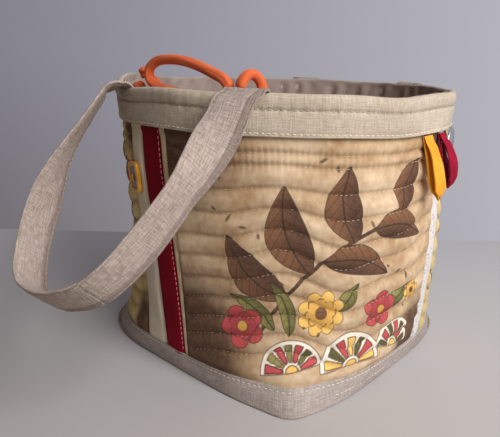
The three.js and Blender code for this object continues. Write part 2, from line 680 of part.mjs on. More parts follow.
function addFrameButton() {
  const { azimuth, drop, width, tall, border, thickness, lean } = FRAME_BUTTON;
  const group = wallGroup(azimuth, BAND_BOTTOM - drop);
  const place = (geometry) => {
    geometry.rotateZ(rad(lean));
    geometry.rotateX(Math.PI / 2);
    geometry.rotateZ(Math.PI / 2);
    geometry.translate(CLEARANCE, 0, 0);
    return geometry;
  };
  const frame = roundedRectangle(THREE.Shape, width, tall, border);
  const window = [width - 2 * border, tall - 2 * border, border / 2];
  frame.holes.push(roundedRectangle(THREE.Path, ...window));
  const options = { depth: thickness, bevelEnabled: false, curveSegments: 4 };
  const rim = place(new THREE.ExtrudeGeometry(frame, options));
  addMesh(group, 'left_button_rim', rim, fabric(0xe0a21c, 0.5));
  const inset = 2 * (border + CLEARANCE);
  const middle = roundedRectangle(THREE.Shape, width - inset, tall - inset, border / 2);
  const centreDepth = thickness - 2 * CLEARANCE;
  const centre = place(new THREE.ExtrudeGeometry(middle, { ...options, depth: centreDepth }));
  addMesh(group, 'left_button_centre', centre, fabric(0x5f6c94, 0.5));
}

addBase();
addPatchwork();
addRim();
addHandle('front', 0, FRONT_TILT);
addHandle('back', HALF_TURN, BACK_TILT);
addCasingCord();
addBow();
addLoop('yellow_loop', YELLOW_LOOP);
addLoop('crimson_loop', CRIMSON_LOOP);
addMetalButton();
addFrameButton();

export default basket;
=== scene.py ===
"""Patchwork fabric basket: cloth, cord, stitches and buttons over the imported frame.

Lengths are millimetres and azimuths degrees from +X towards +Y; meshes are scaled to metres as they
are made. An angle called theta is an azimuth in radians.
"""

import bpy
import numpy as np
from mathutils import Matrix, Vector
from numpy import arange, array, clip, concatenate, cos, degrees, linspace, pi, sin, stack, vstack
from numpy import radians as rad


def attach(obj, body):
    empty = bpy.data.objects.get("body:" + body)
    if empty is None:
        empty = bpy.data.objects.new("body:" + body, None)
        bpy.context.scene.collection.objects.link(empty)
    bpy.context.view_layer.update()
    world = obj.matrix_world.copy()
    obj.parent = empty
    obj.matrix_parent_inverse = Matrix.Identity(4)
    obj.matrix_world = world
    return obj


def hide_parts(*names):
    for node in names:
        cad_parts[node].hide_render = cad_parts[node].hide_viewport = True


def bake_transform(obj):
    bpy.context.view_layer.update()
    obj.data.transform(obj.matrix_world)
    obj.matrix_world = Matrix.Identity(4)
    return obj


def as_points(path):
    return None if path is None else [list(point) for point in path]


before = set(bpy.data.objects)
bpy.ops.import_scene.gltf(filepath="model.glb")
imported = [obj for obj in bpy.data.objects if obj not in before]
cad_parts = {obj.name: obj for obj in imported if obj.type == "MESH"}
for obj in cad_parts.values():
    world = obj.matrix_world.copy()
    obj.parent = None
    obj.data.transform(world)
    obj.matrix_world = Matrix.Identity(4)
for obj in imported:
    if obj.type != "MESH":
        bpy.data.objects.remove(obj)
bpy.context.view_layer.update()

MM = 0.001
UP = array([0.0, 0.0, 1.0])

# The solids' own sizes
BASE_SIZE, WALL_DIAMETER = 232.0, 249.0
SQUARENESS, SQUARENESS_FADE = 4.7, 15.5
BAND_BOTTOM, BAND_OUT, BAND_IN, HEM_IN, FACING_IN = 175.0, -3.0, -0.6, 2.6, 3.9
LINING_IN, FLOOR_TOP = 4.3, 6.0
HEM_LINE, CASING_HEIGHT = 190.4, 181.5
STRAP_WIDTH, STRAP_THICKNESS = 25.0, 1.8
HANDLE_TURN, HANDLE_HALF_ANGLE, HANDLE_DROP, POCKET_RADIUS = 4.5, 25.5, 146.0, 123.7
HINGE_SIDE, HINGE_OUT, HINGE_HEIGHT = 54.890, 121.447, 203.7
HANDLE_OUTLINE = [
    (1, 0), (1, 0.03), (1.04, 0.2), (1.01, 0.44), (0.88, 0.72), (0.6, 0.93), (0.14, 1.01),
    (-0.26, 0.99), (-0.62, 0.83), (-0.88, 0.6), (-1.01, 0.4), (-1.03, 0.2), (-1, 0.03), (-1, 0),
]
TWIST_LENGTH, CROSS_SEAM_AT = 75.0, 140.0
FRONT_TILT, BACK_TILT = 41.5, 15.0
END_KNOT_RADIUS = 4.6
KNOT_AZIMUTH, KNOT_RADIUS, KNOT_HEIGHT, KNOT_HALF = 294.0, 111.5, 193.0, 8.3
LEAD_TURN, LEAD_TOP, SLIT_LENGTH = 22, 187, 26

# The cloth as the photo shows it
CORD_DIAMETER = 7.0
STITCH_PITCH = 3.6
SEAMS = [  # name, side, azimuth at the rim and at the base; the other half is the same
    ("dotted_strip", 1, 186.5, 190.0), ("print_panel", 1, 193.5, 197.0),
    ("cream_strip", 0, 251.0, 256.5), ("red_strip", 0, 258.8, 267.8),
    ("edging_strip", 0, 269.4, 277.6), ("print_panel", 0, 271.9, 278.7),
    ("end", 1, 366.5, 370.0),
]

# Routes of the bow, from the knot's middle
KNOT_ROUTES = {
    "large_loop": [
        (-4.4, 0.2, 7), (-10.9, 1, 12.4), (-20.4, 0.6, 16.2), (-31.4, -0.3, 19.8), (-45.4, -1.5, 22.8),
        (-59.4, -2.6, 23.6), (-70.9, -3.6, 21.8), (-77.4, -4.2, 16.6), (-77.8, -4, 10.4), (-72.9, -3.6, 6.4),
        (-62.4, -2.8, 4), (-49.4, -2, 2.2), (-33.4, -1.2, 0.8), (-20.4, -1, 0.2), (-9, -1, 0.6),
    ],
    "small_loop": [
        (1.9, 1.7, 7.3), (2.7, 3.4, 12.6), (3.9, 6.8, 15.8), (5.5, 11, 15.6), (7.1, 14.6, 11.6),
        (7.8, 15.6, 5.8), (7.1, 14, 0), (5.3, 10.6, -3.8), (3.4, 6.2, -4.4),
    ],
    "upper_tail": [
        (-6, 5.2, -3.9), (-16.4, 7.6, -5.6), (-29.4, 8, -6.2), (-45.4, 7.8, -5.8), (-60.4, 6.4, -3.6),
        (-72.4, 4.8, 1.2), (-81.4, 3.6, 7.4), (-87, 2.6, 11.6),
    ],
    "lower_tail": [
        (-4.5, -0.1, -9), (-15.4, -2.8, -10.4), (-30.4, -4.6, -11.4), (-46.4, -5, -11.4),
        (-61.4, -4.8, -9.6), (-74.4, -3.8, -5.8), (-84.4, -2.8, -1.8), (-89.4, -2.2, 1.4),
    ],
}


# ---- small tools


def smooth(t):
    t = clip(t, 0.0, 1.0)
    return t * t * (3 - 2 * t)


def bell(x, width):
    return np.exp(-((x / width) ** 2))


def unit(v):
    v = np.asarray(v, float)
    return v / np.linalg.norm(v, axis=-1, keepdims=True)


def polar(azimuth, radius, z):
    a = rad(azimuth)
    return stack([radius * cos(a), radius * sin(a), z + 0 * a], -1)


def outwards(theta):
    return polar(degrees(theta), 1.0, 0.0)


def turns(count):
    """A full turn in equal steps."""
    return arange(count) / count * 2 * pi


def turn_gap(azimuth, middle):
    """Signed difference of two azimuths."""
    return (azimuth - middle + 180.0) % 360.0 - 180.0


def beside(theta, azimuth, width):
    """1 at an azimuth, and less to both sides of it."""
    return bell(turn_gap(degrees(theta), azimuth), width)


def cloth_radius(theta, z):
    """The wall's face: the solid's, softly uneven and leaning, with corners that aren't alike."""
    power = 2 + (SQUARENESS - 2) * np.exp(-np.maximum(z, 0) / SQUARENESS_FADE)
    fall = 1 - clip(z / BAND_BOTTOM, 0.0, 1.0)
    half = BASE_SIZE / 2 + (WALL_DIAMETER - BASE_SIZE) / 2 * (1 - fall**2)
    solid = half * (np.abs(cos(theta)) ** power + np.abs(sin(theta)) ** power) ** (-1 / power)
    wave = 0.55 * sin(3 * theta + 1.1 + z / 70) + 0.4 * sin(5 * theta - 0.7 - z / 50)
    wave = wave + 0.25 * sin(9 * theta + 2.0 + z / 33)
    over = 4.0 * sin(pi * clip((z - 8) / 138, 0, 1)) * cos(theta - rad(35))
    corner = 5.2 * beside(theta, 313.8, 6) - 5.5 * beside(theta, 226, 14) - 4.5 * beside(theta, 40, 18)
    flare = 2.5 * beside(theta, 216, 16) * smooth((z - 172) / 22)
    return solid + wave * smooth((z - 6) / 60) + over + corner * (1 - smooth((z - 6) / 30)) + flare


def rim_lift(theta):
    """How far the soft rim rises or sinks."""
    lift = 4.6 * beside(theta, 210, 16) - 2.0 * beside(theta, 250, 13) - 1.5 * beside(theta, 342, 12)
    return lift + 0.25 * sin(7 * theta + 0.5) + 0.2 * sin(13 * theta + 1.9)


def cloth_point(theta, z, inset):
    """A point of the standing cloth, at a height and a depth in from the wall's face."""
    r = cloth_radius(theta, z) - inset
    up = z + rim_lift(theta) * smooth((z - 150) / 48)
    return stack([r * cos(theta), r * sin(theta), up + 0 * r], -1)


def new_object(name, data):
    obj = bpy.data.objects.new(name, data)
    bpy.context.scene.collection.objects.link(obj)
    return obj


def new_mesh(name, points, quads, uv=None):
    """A smooth-shaded mesh object; uv has one pair per corner of each face."""
    mesh = bpy.data.meshes.new(name)
    corners = np.asarray(quads, np.int32).ravel()
    faces = len(corners) // 4
    mesh.vertices.add(len(points))
    mesh.vertices.foreach_set("co", (points * MM).astype(np.float32).ravel())
    mesh.loops.add(len(corners))
    mesh.loops.foreach_set("vertex_index", corners)
    mesh.polygons.add(faces)
    mesh.polygons.foreach_set("loop_start", arange(faces, dtype=np.int32) * 4)
    mesh.polygons.foreach_set("use_smooth", np.ones(faces, bool))
    if uv is not None:
        layer = mesh.uv_layers.new(name="cloth")
        layer.data.foreach_set("uv", (uv * MM).astype(np.float32).ravel())
    mesh.update(calc_edges=True)
    mesh.validate()
    return new_object(name, mesh)


def grid_cells(rows, columns, around, along):
    """Corners of a grid's faces, and their rows and columns; around and along close it on itself."""
    i, j = np.meshgrid(
        arange(rows if around else rows - 1), arange(columns if along else columns - 1), indexing="ij"
    )
    ci = stack([i, i + 1, i + 1, i], -1).reshape(-1, 4)
    cj = stack([j, j, j + 1, j + 1], -1).reshape(-1, 4)
    return ci % rows * columns + cj % columns, ci, cj


def grid_object(name, points, u, v, around=False, along=False, keep=None, flip=False):
    """A surface from a grid of points; u and v are cloth lengths, by row and by column or by point."""
    quads, ci, cj = grid_cells(*points.shape[:2], around, along)
    if u.ndim == 1:
        u, v = np.meshgrid(u, v, indexing="ij")
    uv = stack([u[ci, cj], v[ci, cj]], -1)
    if keep is not None:
        quads, uv = quads[keep.ravel()], uv[keep.ravel()]
    if flip:
        quads, uv = quads[:, ::-1], uv[:, ::-1]
    return new_mesh(name, points.reshape(-1, 3), quads, uv)


def set_values(obj, name, values):
    layer = obj.data.attributes.new(name, "FLOAT", "POINT")
    layer.data.foreach_set("value", np.asarray(values, np.float32).ravel())


def dress(obj, material, slot, *nodes, body="basket"):
    """Material, slot (not used), the solids it stands for and the body it rides on."""
    obj.data.materials.append(MATERIALS[material])
    if nodes:
        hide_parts(*nodes)
    if body:
        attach(obj, body)
    return obj


def lengths(path):
    """Distance along a path at each of its points."""
    return concatenate([[0], np.cumsum(np.linalg.norm(np.diff(path, axis=0), axis=1))])


def sample(at, run, values):
    """Vectors along a path, read at other distances."""
    return stack([np.interp(at, run, column) for column in values.T], 1)


def spline(points, step):
    """The centripetal curve through the points, sampled evenly by length."""
    p = np.asarray(points, float)
    p = vstack([2 * p[0] - p[1], p, 2 * p[-1] - p[-2]])
    gaps = np.linalg.norm(np.diff(p, axis=0), axis=1) ** 0.5
    t = linspace(0, 1, 60, endpoint=False)[:, None]
    out = []
    for i in range(1, len(p) - 2):
        (d0, d1, d2), (q0, q1, q2, q3) = gaps[i - 1:i + 2], p[i - 1:i + 3]
        a = ((q1 - q0) / d0 - (q2 - q0) / (d0 + d1) + (q2 - q1) / d1) * d1
        b = ((q2 - q1) / d1 - (q3 - q1) / (d1 + d2) + (q3 - q2) / d2) * d1
        out.append(q1 + a * t + (3 * (q2 - q1) - 2 * a - b) * t**2 + (2 * (q1 - q2) + a + b) * t**3)
    out = vstack(out + [p[-2:-1]])
    run = lengths(out)
    at = linspace(0, run[-1], max(4, int(round(run[-1] / step)) + 1))
    return sample(at, run, out), at


def steady_frames(path):
    """Two directions across a path that don't spin round it."""
    along = unit(np.gradient(path, axis=0))
    side = np.empty_like(path)
    side[0] = unit(np.cross(UP if abs(along[0][2]) < 0.9 else [1.0, 0.0, 0.0], along[0]))
    for i in range(1, len(path)):
        side[i] = unit(side[i - 1] - along[i] * (side[i - 1] @ along[i]))
    return side, np.cross(along, side)


def folds(depth, wave):
    """Share of a cord's radius that its lengthwise folds leave."""
    return 1 - depth * (0.5 + 0.5 * sin(wave)) ** 2


def swept(path, x, y, first, second):
    """Rows of points across a path: x along the first direction and y along the second."""
    return path[:, None] + x[..., None] * first[:, None] + y[..., None] * second[:, None]


def tube(name, path, radius, sides, fold, seed):
    """A round cord along a path with soft lengthwise folds, rounded at both ends."""
    run, phi = lengths(path), turns(sides)
    s = run[:, None]
    r = folds(fold, 3 * phi + 0.05 * s + seed) * folds(0.6 * fold, 5 * phi - 0.09 * s + 2 * seed)
    end = clip(np.minimum(run, run[-1] - run) / (0.6 * radius), 0, 1)[:, None]
    r = r * radius * (1 + 0.02 * sin(s / 7 + seed)) * np.sqrt(1 - (1 - end) ** 2).clip(0.15)
    points = swept(path, r * cos(phi), r * sin(phi), *steady_frames(path))
    return grid_object(name, points, run, linspace(0, 2 * pi, sides + 1) * radius, along=True)


def strokes(name, middles, runs, normals, length, radius):
    """Many short raised stitches in one mesh."""
    runs = unit(runs)
    across = unit(np.cross(normals, runs))
    normals = np.cross(runs, across)
    sides, rings = 6, ((-0.5, 0.25), (-0.36, 0.9), (0.0, 1.0), (0.36, 0.9), (0.5, 0.25))
    phi = turns(sides)[:, None]
    ring = radius * (cos(phi) * across[:, None] + sin(phi) * normals[:, None])
    rows = []
    for at, size in rings:
        centre = middles + runs * (at * length) + normals * (0.35 * radius * (1 - 6 * at * at))
        rows.append(centre[:, None] + ring * size)
    caps = array([[0, 1, 2, 3], [0, 3, 4, 5]])
    walls = grid_cells(len(rings), sides, False, True)[0]
    one = vstack([walls, caps[:, ::-1], caps + (len(rings) - 1) * sides])
    faces = one + (arange(len(middles)) * len(rings) * sides)[:, None, None]
    return new_mesh(name, stack(rows, 1).reshape(-1, 3), faces)


# ---- materials


def srgb(colour):
    c = array(colour) / 255
    return np.where(c <= 0.04045, c / 12.92, ((c + 0.055) / 1.055) ** 2.4).tolist() + [1.0]


class Signal:
    """A shader node's output, which can be added, multiplied and mapped."""

    def __init__(self, shade, socket):
        self.shade, self.socket = shade, socket

    def math(self, operation, other=0.0):
        return self.shade.node("ShaderNodeMath", {0: self, 1: other}, operation=operation)

    def __add__(self, other):
        return self.math("ADD", other)

    def __mul__(self, other):
        return self.math("MULTIPLY", other)

    def ramp(self, low, high, out_low=0.0, out_high=1.0):
        inputs = {"Value": self, "From Min": low, "From Max": high, "To Min": out_low, "To Max": out_high}
        return self.shade.node("ShaderNodeMapRange", inputs, clamp=True)


class Shade:
    """The nodes of a material or of the world. Colours are three bytes each or signals."""

    def __init__(self, owner, **sockets):
        self.owner = bpy.data.materials.new(owner) if isinstance(owner, str) else owner
        self.owner.use_nodes = True
        self.tree = self.owner.node_tree
        self.end = self.tree.nodes.get("Principled BSDF") or self.tree.nodes["Background"]
        for key, value in sockets.items():
            self.feed(self.end.inputs[key.replace("_", " ")], value)

    def feed(self, socket, value):
        if isinstance(value, Signal):
            self.tree.links.new(value.socket, socket)
        else:
            socket.default_value = value

    def node(self, kind, inputs, output=0, **settings):
        made = self.tree.nodes.new(kind)
        for key, value in settings.items():
            setattr(made, key, value)
        for key, value in inputs.items():
            self.feed(made.inputs[key], value)
        return Signal(self, made.outputs[output])

    def mix(self, factor, a, b):
        a, b = (srgb(c) if isinstance(c, tuple) else c for c in (a, b))
        return self.node("ShaderNodeMix", {0: factor, 6: a, 7: b}, 2, data_type="RGBA")

    def cloth(self):
        return self.node("ShaderNodeUVMap", {}, uv_map="cloth")

    def place(self):
        return self.node("ShaderNodeTexCoord", {}, "Object")

    def noise(self, where, scale, detail=2.0, rough=0.5):
        """Noise of one scale, or of one for each direction."""
        if isinstance(scale, tuple):
            where, scale = self.node("ShaderNodeMapping", {"Vector": where, "Scale": scale}), 1.0
        inputs = {"Vector": where, "Scale": scale, "Detail": detail, "Roughness": rough}
        return self.node("ShaderNodeTexNoise", inputs)

    def value(self, name):
        return self.node("ShaderNodeAttribute", {}, "Fac", attribute_name=name)

    def towards(self, where, direction):
        return self.node("ShaderNodeVectorMath", {0: where, 1: direction}, "Value", operation="DOT_PRODUCT")

    def bump(self, height, distance):
        inputs = {"Height": height, "Distance": distance, "Strength": 1.0}
        self.feed(self.end.inputs["Normal"], self.node("ShaderNodeBump", inputs))

    def colour(self, value):
        self.feed(self.end.inputs[0], value)
        return self.owner


# Pitches of the weaves and depths of their threads, in metres
LINEN_PITCH, LINEN_DEPTH = 0.0008, 0.00022
COTTON_PITCH, COTTON_DEPTH = 0.0005, 0.00008


def weave(shade, pitch, slub):
    """Height of a plain weave and the tone of its threads, both about 0 to 1."""
    cloth = shade.cloth()
    wobble = shade.noise(cloth, 90.0) * 5.0
    warp, weft = (
        (shade.node("ShaderNodeSeparateXYZ", {0: cloth}, k) * (2 * pi / pitch) + wobble).math("SINE")
        for k in (0, 1)
    )
    height = warp * weft * 0.5 + 0.5
    fine, long = 1.1 / pitch, 0.1 / pitch
    slubs = shade.noise(cloth, (fine, long, 1.0), 2.0, 0.6)
    slubs = slubs + shade.noise(cloth, (long * 1.2, fine * 0.9, 1.0), 2.0, 0.6)
    return height, slubs.ramp(0.8, 1.3) * slub + height * 0.25


def linen(name, light, dark, slub, flange_shadow=None):
    shade = Shade(name, Roughness=0.95, Sheen_Weight=0.05, Sheen_Roughness=0.5, Specular_IOR_Level=0.2)
    height, tone = weave(shade, LINEN_PITCH, slub)
    tone = tone + shade.noise(shade.place(), 16.0, 3.0).ramp(0.3, 0.7, -0.2, 0.2)
    colour = shade.mix(tone.ramp(0.0, 1.0), dark, light)
    # painted shadow: a darker band along the strap's turned flange
    if flange_shadow:
        colour = shade.mix(shade.value("flange_shadow"), colour, shade.mix(0.6, colour, flange_shadow))
    shade.bump(height + tone * 1.5, LINEN_DEPTH)
    return shade.colour(colour)


def woven_cotton(name, pitch, slub):
    shade = Shade(name, Roughness=0.9, Specular_IOR_Level=0.15)
    height, tone = weave(shade, pitch, slub)
    shade.bump(height, COTTON_DEPTH)
    return shade, tone


def cotton(name, light, dark, pitch=COTTON_PITCH, patch=28.0):
    shade, tone = woven_cotton(name, pitch, 0.5)
    tone = tone * 0.35 + shade.noise(shade.place(), patch, 3.0).ramp(0.3, 0.7, 0.0, 0.65)
    return shade.colour(shade.mix(tone.ramp(0.0, 1.0), dark, light))


def dotted_cotton(name, light, dark, mark):
    shade, tone = woven_cotton(name, COTTON_PITCH, 0.4)
    cells = {"Vector": shade.cloth(), "Scale": 330.0, "Randomness": 0.75}
    dots = shade.node("ShaderNodeTexVoronoi", cells, "Distance").ramp(0.26, 0.36, 0.9, 0.0)
    sprigs = shade.noise(shade.cloth(), (160.0, 95.0, 1.0), 3.0).ramp(0.6, 0.68, 0.0, 0.4)
    ground = shade.mix(tone.ramp(0.0, 0.7), dark, light)
    return shade.colour(shade.mix(dots.math("MAXIMUM", sprigs), ground, mark))


def print_cotton(name, light, dark):
    """Mottled ground with leaves, flowers and fans from the mesh's own distances, in millimetres."""
    shade, tone = woven_cotton(name, COTTON_PITCH, 0.5)
    cloud = shade.noise(shade.place(), 26.0, 4.0, 0.65).ramp(0.32, 0.66)
    fleck = shade.noise(shade.place(), 210.0, 3.0).ramp(0.35, 0.75)
    colour = shade.mix(cloud * 0.7 + fleck * 0.3, dark, light)
    # painted shade: darker along the quilting grooves, the patch seams and the base seam
    colour = shade.mix(shade.value("painted_groove_shade") * 0.36, colour, (140, 102, 64))
    vignette = shade.mix(fleck, (74, 44, 27), (104, 68, 44))
    # brown corners of the print, partly painted shade where the left ones were widened
    colour = shade.mix(shade.value("shade").ramp(0.15, 0.6, 0.0, 0.95), colour, vignette)
    across = shade.value("leaf_n")
    off = across.math("ABSOLUTE")
    veins = ((shade.value("leaf_t") * 1.05 + off) * 0.95).math("SINE").ramp(0.86, 0.99, 0.0, 0.6)
    ribs = off.ramp(0.3, 0.9, 0.9, 0.0).math("MAXIMUM", veins)
    side, petal = across.ramp(-7.0, 7.0), shade.value("petal").ramp(-1.0, 1.0)
    for key, tint, deep, bright, rib, edge in (
        ("brown", side * 0.7 + cloud * 0.3, (62, 34, 22), (128, 84, 52), (48, 27, 18), (44, 24, 15)),
        ("olive", side, (84, 82, 36), (152, 144, 78), (60, 58, 26), (52, 48, 22)),
        ("cream", fleck, (232, 222, 200), (246, 240, 224), None, (96, 62, 40)),
        ("crimson", petal, (128, 26, 38), (196, 74, 76), None, (84, 18, 26)),
        ("gold", petal, (196, 132, 42), (240, 196, 104), None, (110, 66, 24)),
    ):
        fill = shade.mix(tint, deep, bright)
        if rib:
            fill = shade.mix(ribs, fill, rib)
        colour = shade.mix(shade.value(key).ramp(-0.35, 0.35, 1.0, 0.0), colour, fill)
        colour = shade.mix(shade.value(key).math("ABSOLUTE").ramp(0.18, 0.585, 0.75, 0.0), colour, edge)
    colour = shade.mix(shade.value("seed").ramp(-0.2, 0.3, 0.85, 0.0), colour, (84, 54, 34))
    return shade.colour(shade.mix(tone * 0.1, colour, (246, 238, 222)))


def jersey(name, light, dark):
    shade = Shade(name, Roughness=0.85, Sheen_Weight=0.25, Sheen_Roughness=0.4)
    tone = shade.noise(shade.cloth(), (60.0, 700.0, 1.0), 3.0, 0.6) * 0.75
    tone = tone + shade.noise(shade.cloth(), (1500.0, 1900.0, 1.0)) * 0.3
    shade.bump(tone, 0.0004)
    return shade.colour(shade.mix(tone.ramp(0.3, 0.75), dark, light))


def thread(name, light, dark):
    shade = Shade(name, Roughness=0.7, Sheen_Weight=0.2, Sheen_Roughness=0.4)
    grain = shade.noise(shade.place(), (1500.0, 1500.0, 900.0))
    shade.bump(grain, 0.0001)
    return shade.colour(shade.mix(grain.ramp(0.3, 0.7), dark, light))


def hard(name, light, dark, roughness, metallic=0.0, grain=400.0, depth=0.00003, coat=0.0):
    shade = Shade(name, Metallic=metallic, Coat_Weight=coat, Coat_Roughness=0.2)
    marks = shade.noise(shade.place(), grain, 3.0)
    shade.bump(marks, depth)
    shade.feed(shade.end.inputs["Roughness"], marks.ramp(0.3, 0.7, roughness - 0.08, roughness + 0.1))
    return shade.colour(shade.mix(marks.ramp(0.3, 0.7), dark, light))


MATERIALS = {name: make(name, *look) for name, make, *look in (
    # the strap's last colour is its painted shadow along the turned flange
    ("strap_linen", linen, (216, 199, 186), (152, 133, 120), 0.8, (128, 111, 99)),
    ("band_linen", linen, (238, 226, 208), (184, 167, 142), 0.55),
    ("base_linen", linen, (214, 201, 193), (156, 142, 133), 0.65),
    ("lining_cloth", cotton, (182, 164, 153), (144, 127, 117)),
    ("cream_cloth", cotton, (236, 224, 204), (208, 192, 168)),
    ("red_cloth", cotton, (142, 6, 30), (104, 3, 18)),
    ("edging_cloth", cotton, (226, 206, 172), (198, 174, 136)),
    ("dotted_cotton", dotted_cotton, (238, 234, 229), (212, 206, 200), (178, 176, 176)),
    ("tan_print", print_cotton, (228, 203, 168), (168, 130, 88)),
    ("side_print", print_cotton, (232, 214, 160), (202, 172, 106)),
    ("orange_jersey", jersey, (242, 124, 66), (206, 76, 34)),
    ("yellow_cloth", cotton, (247, 178, 62), (222, 142, 36), 0.0006, 60.0),
    ("crimson_cloth", cotton, (168, 24, 52), (118, 12, 36), 0.0006, 60.0),
    ("cream_thread", thread, (244, 234, 212), (206, 190, 160)),
    ("quilt_thread", thread, (228, 210, 178), (190, 168, 132)),
    ("strap_thread", thread, (190, 174, 162), (150, 132, 120)),
    ("linen_thread", thread, (206, 192, 172), (160, 146, 126)),
    ("pink_thread", thread, (228, 170, 174), (190, 110, 120)),
    ("yellow_thread", thread, (236, 176, 60), (196, 124, 30)),
    ("board_sheet", hard, (150, 134, 112), (124, 108, 88), 0.8),
    ("satin_metal", hard, (206, 208, 212), (168, 170, 176), 0.32, 1.0, 900.0),
    ("yellow_resin", hard, (236, 172, 40), (206, 138, 22), 0.35, 0.0, 120.0, 0.00002, 0.4),
    ("blue_resin", hard, (128, 140, 190), (84, 92, 140), 0.35, 0.0, 120.0, 0.00002, 0.4),
)}


# ---- camera, light and table

HEADING, PITCH, ROLL = 132.207, 16.285, 1.457
FOCAL_LENGTH, PHOTO_WIDTH, SENSOR = 550.5, 500, 36.0  # pixels, pixels and millimetres


def add_camera():
    camera = new_object("camera", bpy.data.cameras.new("camera"))
    camera.data.sensor_width, camera.data.lens = SENSOR, FOCAL_LENGTH / PHOTO_WIDTH * SENSOR
    camera.data.clip_start, camera.data.clip_end = 0.01, 50.0
    spin = Matrix.Rotation(rad(HEADING - 90), 3, "Z") @ Matrix.Rotation(rad(90 - PITCH), 3, "X")
    camera.location = Vector(polar(-50.93, 444.5, 218.73)) * MM
    camera.rotation_mode = "QUATERNION"
    camera.rotation_quaternion = (spin @ Matrix.Rotation(rad(ROLL), 3, "Z")).to_quaternion()
    bpy.context.scene.camera = camera


def add_light():
    """A window to the right and the dimmer walls of a room."""
    light = new_object("window", bpy.data.lights.new("window", "AREA"))
    light.data.shape, light.data.size, light.data.energy = "DISK", 0.6, 9.4
    light.data.color = (0.99, 0.98, 0.99)
    light.location = Vector(polar(348, cos(rad(40)), sin(rad(40))))
    light.rotation_mode = "QUATERNION"
    light.rotation_quaternion = light.location.to_track_quat("Z", "Y")

    world = bpy.data.worlds.new("room")
    bpy.context.scene.world = world
    room = Shade(world)
    where = room.node("ShaderNodeTexCoord", {}, "Generated")
    height = room.node("ShaderNodeSeparateXYZ", {0: where}, "Z").ramp(-0.3, 0.0)
    bright = room.towards(where, polar(42, 1.0, 0.0)).ramp(-0.5, 0.5)
    dim = room.towards(where, polar(262, 1.0, 0.15)).ramp(-0.05, 0.3)
    colour = room.mix(bright, room.mix(height, (104, 99, 104), (126, 124, 136)), (186, 184, 192))
    room.colour(room.mix(dim, colour, (98, 90, 86)))
    bpy.context.scene.view_settings.view_transform = "Standard"


def add_table():
    size, far = 2400.0, 229.0
    ahead = polar(132.2, 1.0, 0.0)
    across = -np.cross(UP, ahead)
    corners = [ahead * y + across * x for y in (far, far - size) for x in (-size / 2, size / 2)]
    uv = array([[0, size], [0, 0], [size, 0], [size, size]])
    table = new_mesh("table", array(corners), [[0, 2, 3, 1]], uv)
    shade = Shade("table_top", Roughness=0.55)
    shade.bump(shade.noise(shade.place(), 260.0), 0.00004)
    # painted shade: the table top is darker and warmer towards the camera
    depth = shade.towards(shade.place(), ahead).ramp(-0.25, 0.2, 0.0, 0.75)
    tone = shade.noise(shade.place(), 3.0, 4.0) * 0.25 + depth
    table.data.materials.append(shade.colour(shade.mix(tone, (172, 166, 160), (206, 206, 208))))


add_camera()
add_light()
add_table()


# ---- drawstring

KNOT = polar(KNOT_AZIMUTH, KNOT_RADIUS, KNOT_HEIGHT)


def as_cord(obj, *nodes):
    return dress(obj, "orange_jersey", "orange_cord", *nodes)


def add_cord(name, seed, pieces=()):
    path, run = spline(KNOT_ROUTES[name] + KNOT, 1.2)
    cord = as_cord(tube(f"{name}_cord", path, CORD_DIAMETER / 2, 24, 0.1, seed), f"drawstring_{name}")
    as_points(vstack([path[:-1:2], path[-1:]]) * MM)


def end_knot(name):
    """A small overhand knot past the end of a tail."""
    before, end = array(KNOT_ROUTES[f"{name}_tail"][-2:], float)
    away = unit(end - before)
    centre = end + KNOT + away * (END_KNOT_RADIUS + 0.3)
    side = unit(np.cross(away, UP))
    t, phi = turns(96)[:, None], turns(16)
    path = centre + 0.95 * (
        (sin(t) + 2 * sin(2 * t)) * side + (cos(t) - 2 * cos(2 * t)) * np.cross(side, away)
        - 1.3 * sin(3 * t) * away
    )
    along = unit(np.roll(path, -1, 0) - np.roll(path, 1, 0))
    first = unit(np.cross(along, path - centre))
    r = 2.15 * folds(0.1, 3 * phi + 2 * t)
    points = swept(path, r * cos(phi), r * sin(phi), first, np.cross(first, along))
    knot = grid_object(f"{name}_end_knot", points, linspace(0, 60, 97), linspace(0, 14, 17), True, True)
    return as_cord(knot, f"drawstring_{name}_end_knot")


def bow_knot():
    """The wrapped middle of the bow: two turns of cord round a tight core."""
    out = polar(KNOT_AZIMUTH, 1.0, 0.0)
    along = np.cross(UP, out)
    t = linspace(0, 4 * pi, 150)[:, None]
    drift = linspace(-3.4, 3.4, 150)[:, None] + 0.8 * sin(t)
    turned = KNOT + drift * along + 4.4 * cos(t) * out + 4.6 * sin(t) * UP
    wrap = as_cord(tube("bow_wrap", turned, 2.6, 20, 0.12, 1.0))
    core = tube("bow_core", KNOT + linspace(-7.6, 7.6, 24)[:, None] * along, 4.3, 24, 0.15, 2.0)
    return [wrap, as_cord(core, "drawstring_knot")]


def add_lead(side, name):
    """The cord from its slit in the facing to the bow, flat at first and rounder at the bow."""
    start, end = WALL_DIAMETER / 2 - 1.0, KNOT_RADIUS + 3.5
    t, phi = linspace(0, 1, 60), turns(20)
    free = smooth(2 * t - 1)
    azimuth = KNOT_AZIMUTH + side * (LEAD_TURN + (degrees(KNOT_HALF / KNOT_RADIUS) - LEAD_TURN) * t)
    path = polar(azimuth, start + (end - start) * t, CASING_HEIGHT + (LEAD_TOP - CASING_HEIGHT) * free)
    fold = folds(0.1, 3 * phi + 4 * t[:, None])
    high = fold * (3.5 - 0.3 * free)[:, None] * cos(phi)
    thick = fold * (1.3 + 0.9 * free)[:, None] * sin(phi)
    points = swept(path, high, thick, UP + 0 * path, polar(azimuth, 1.0, 0.0))
    lead = grid_object(f"{name}_lead", points, t * 36, linspace(0, 17, 21), along=True)
    return as_cord(lead, f"drawstring_{name}_lead")


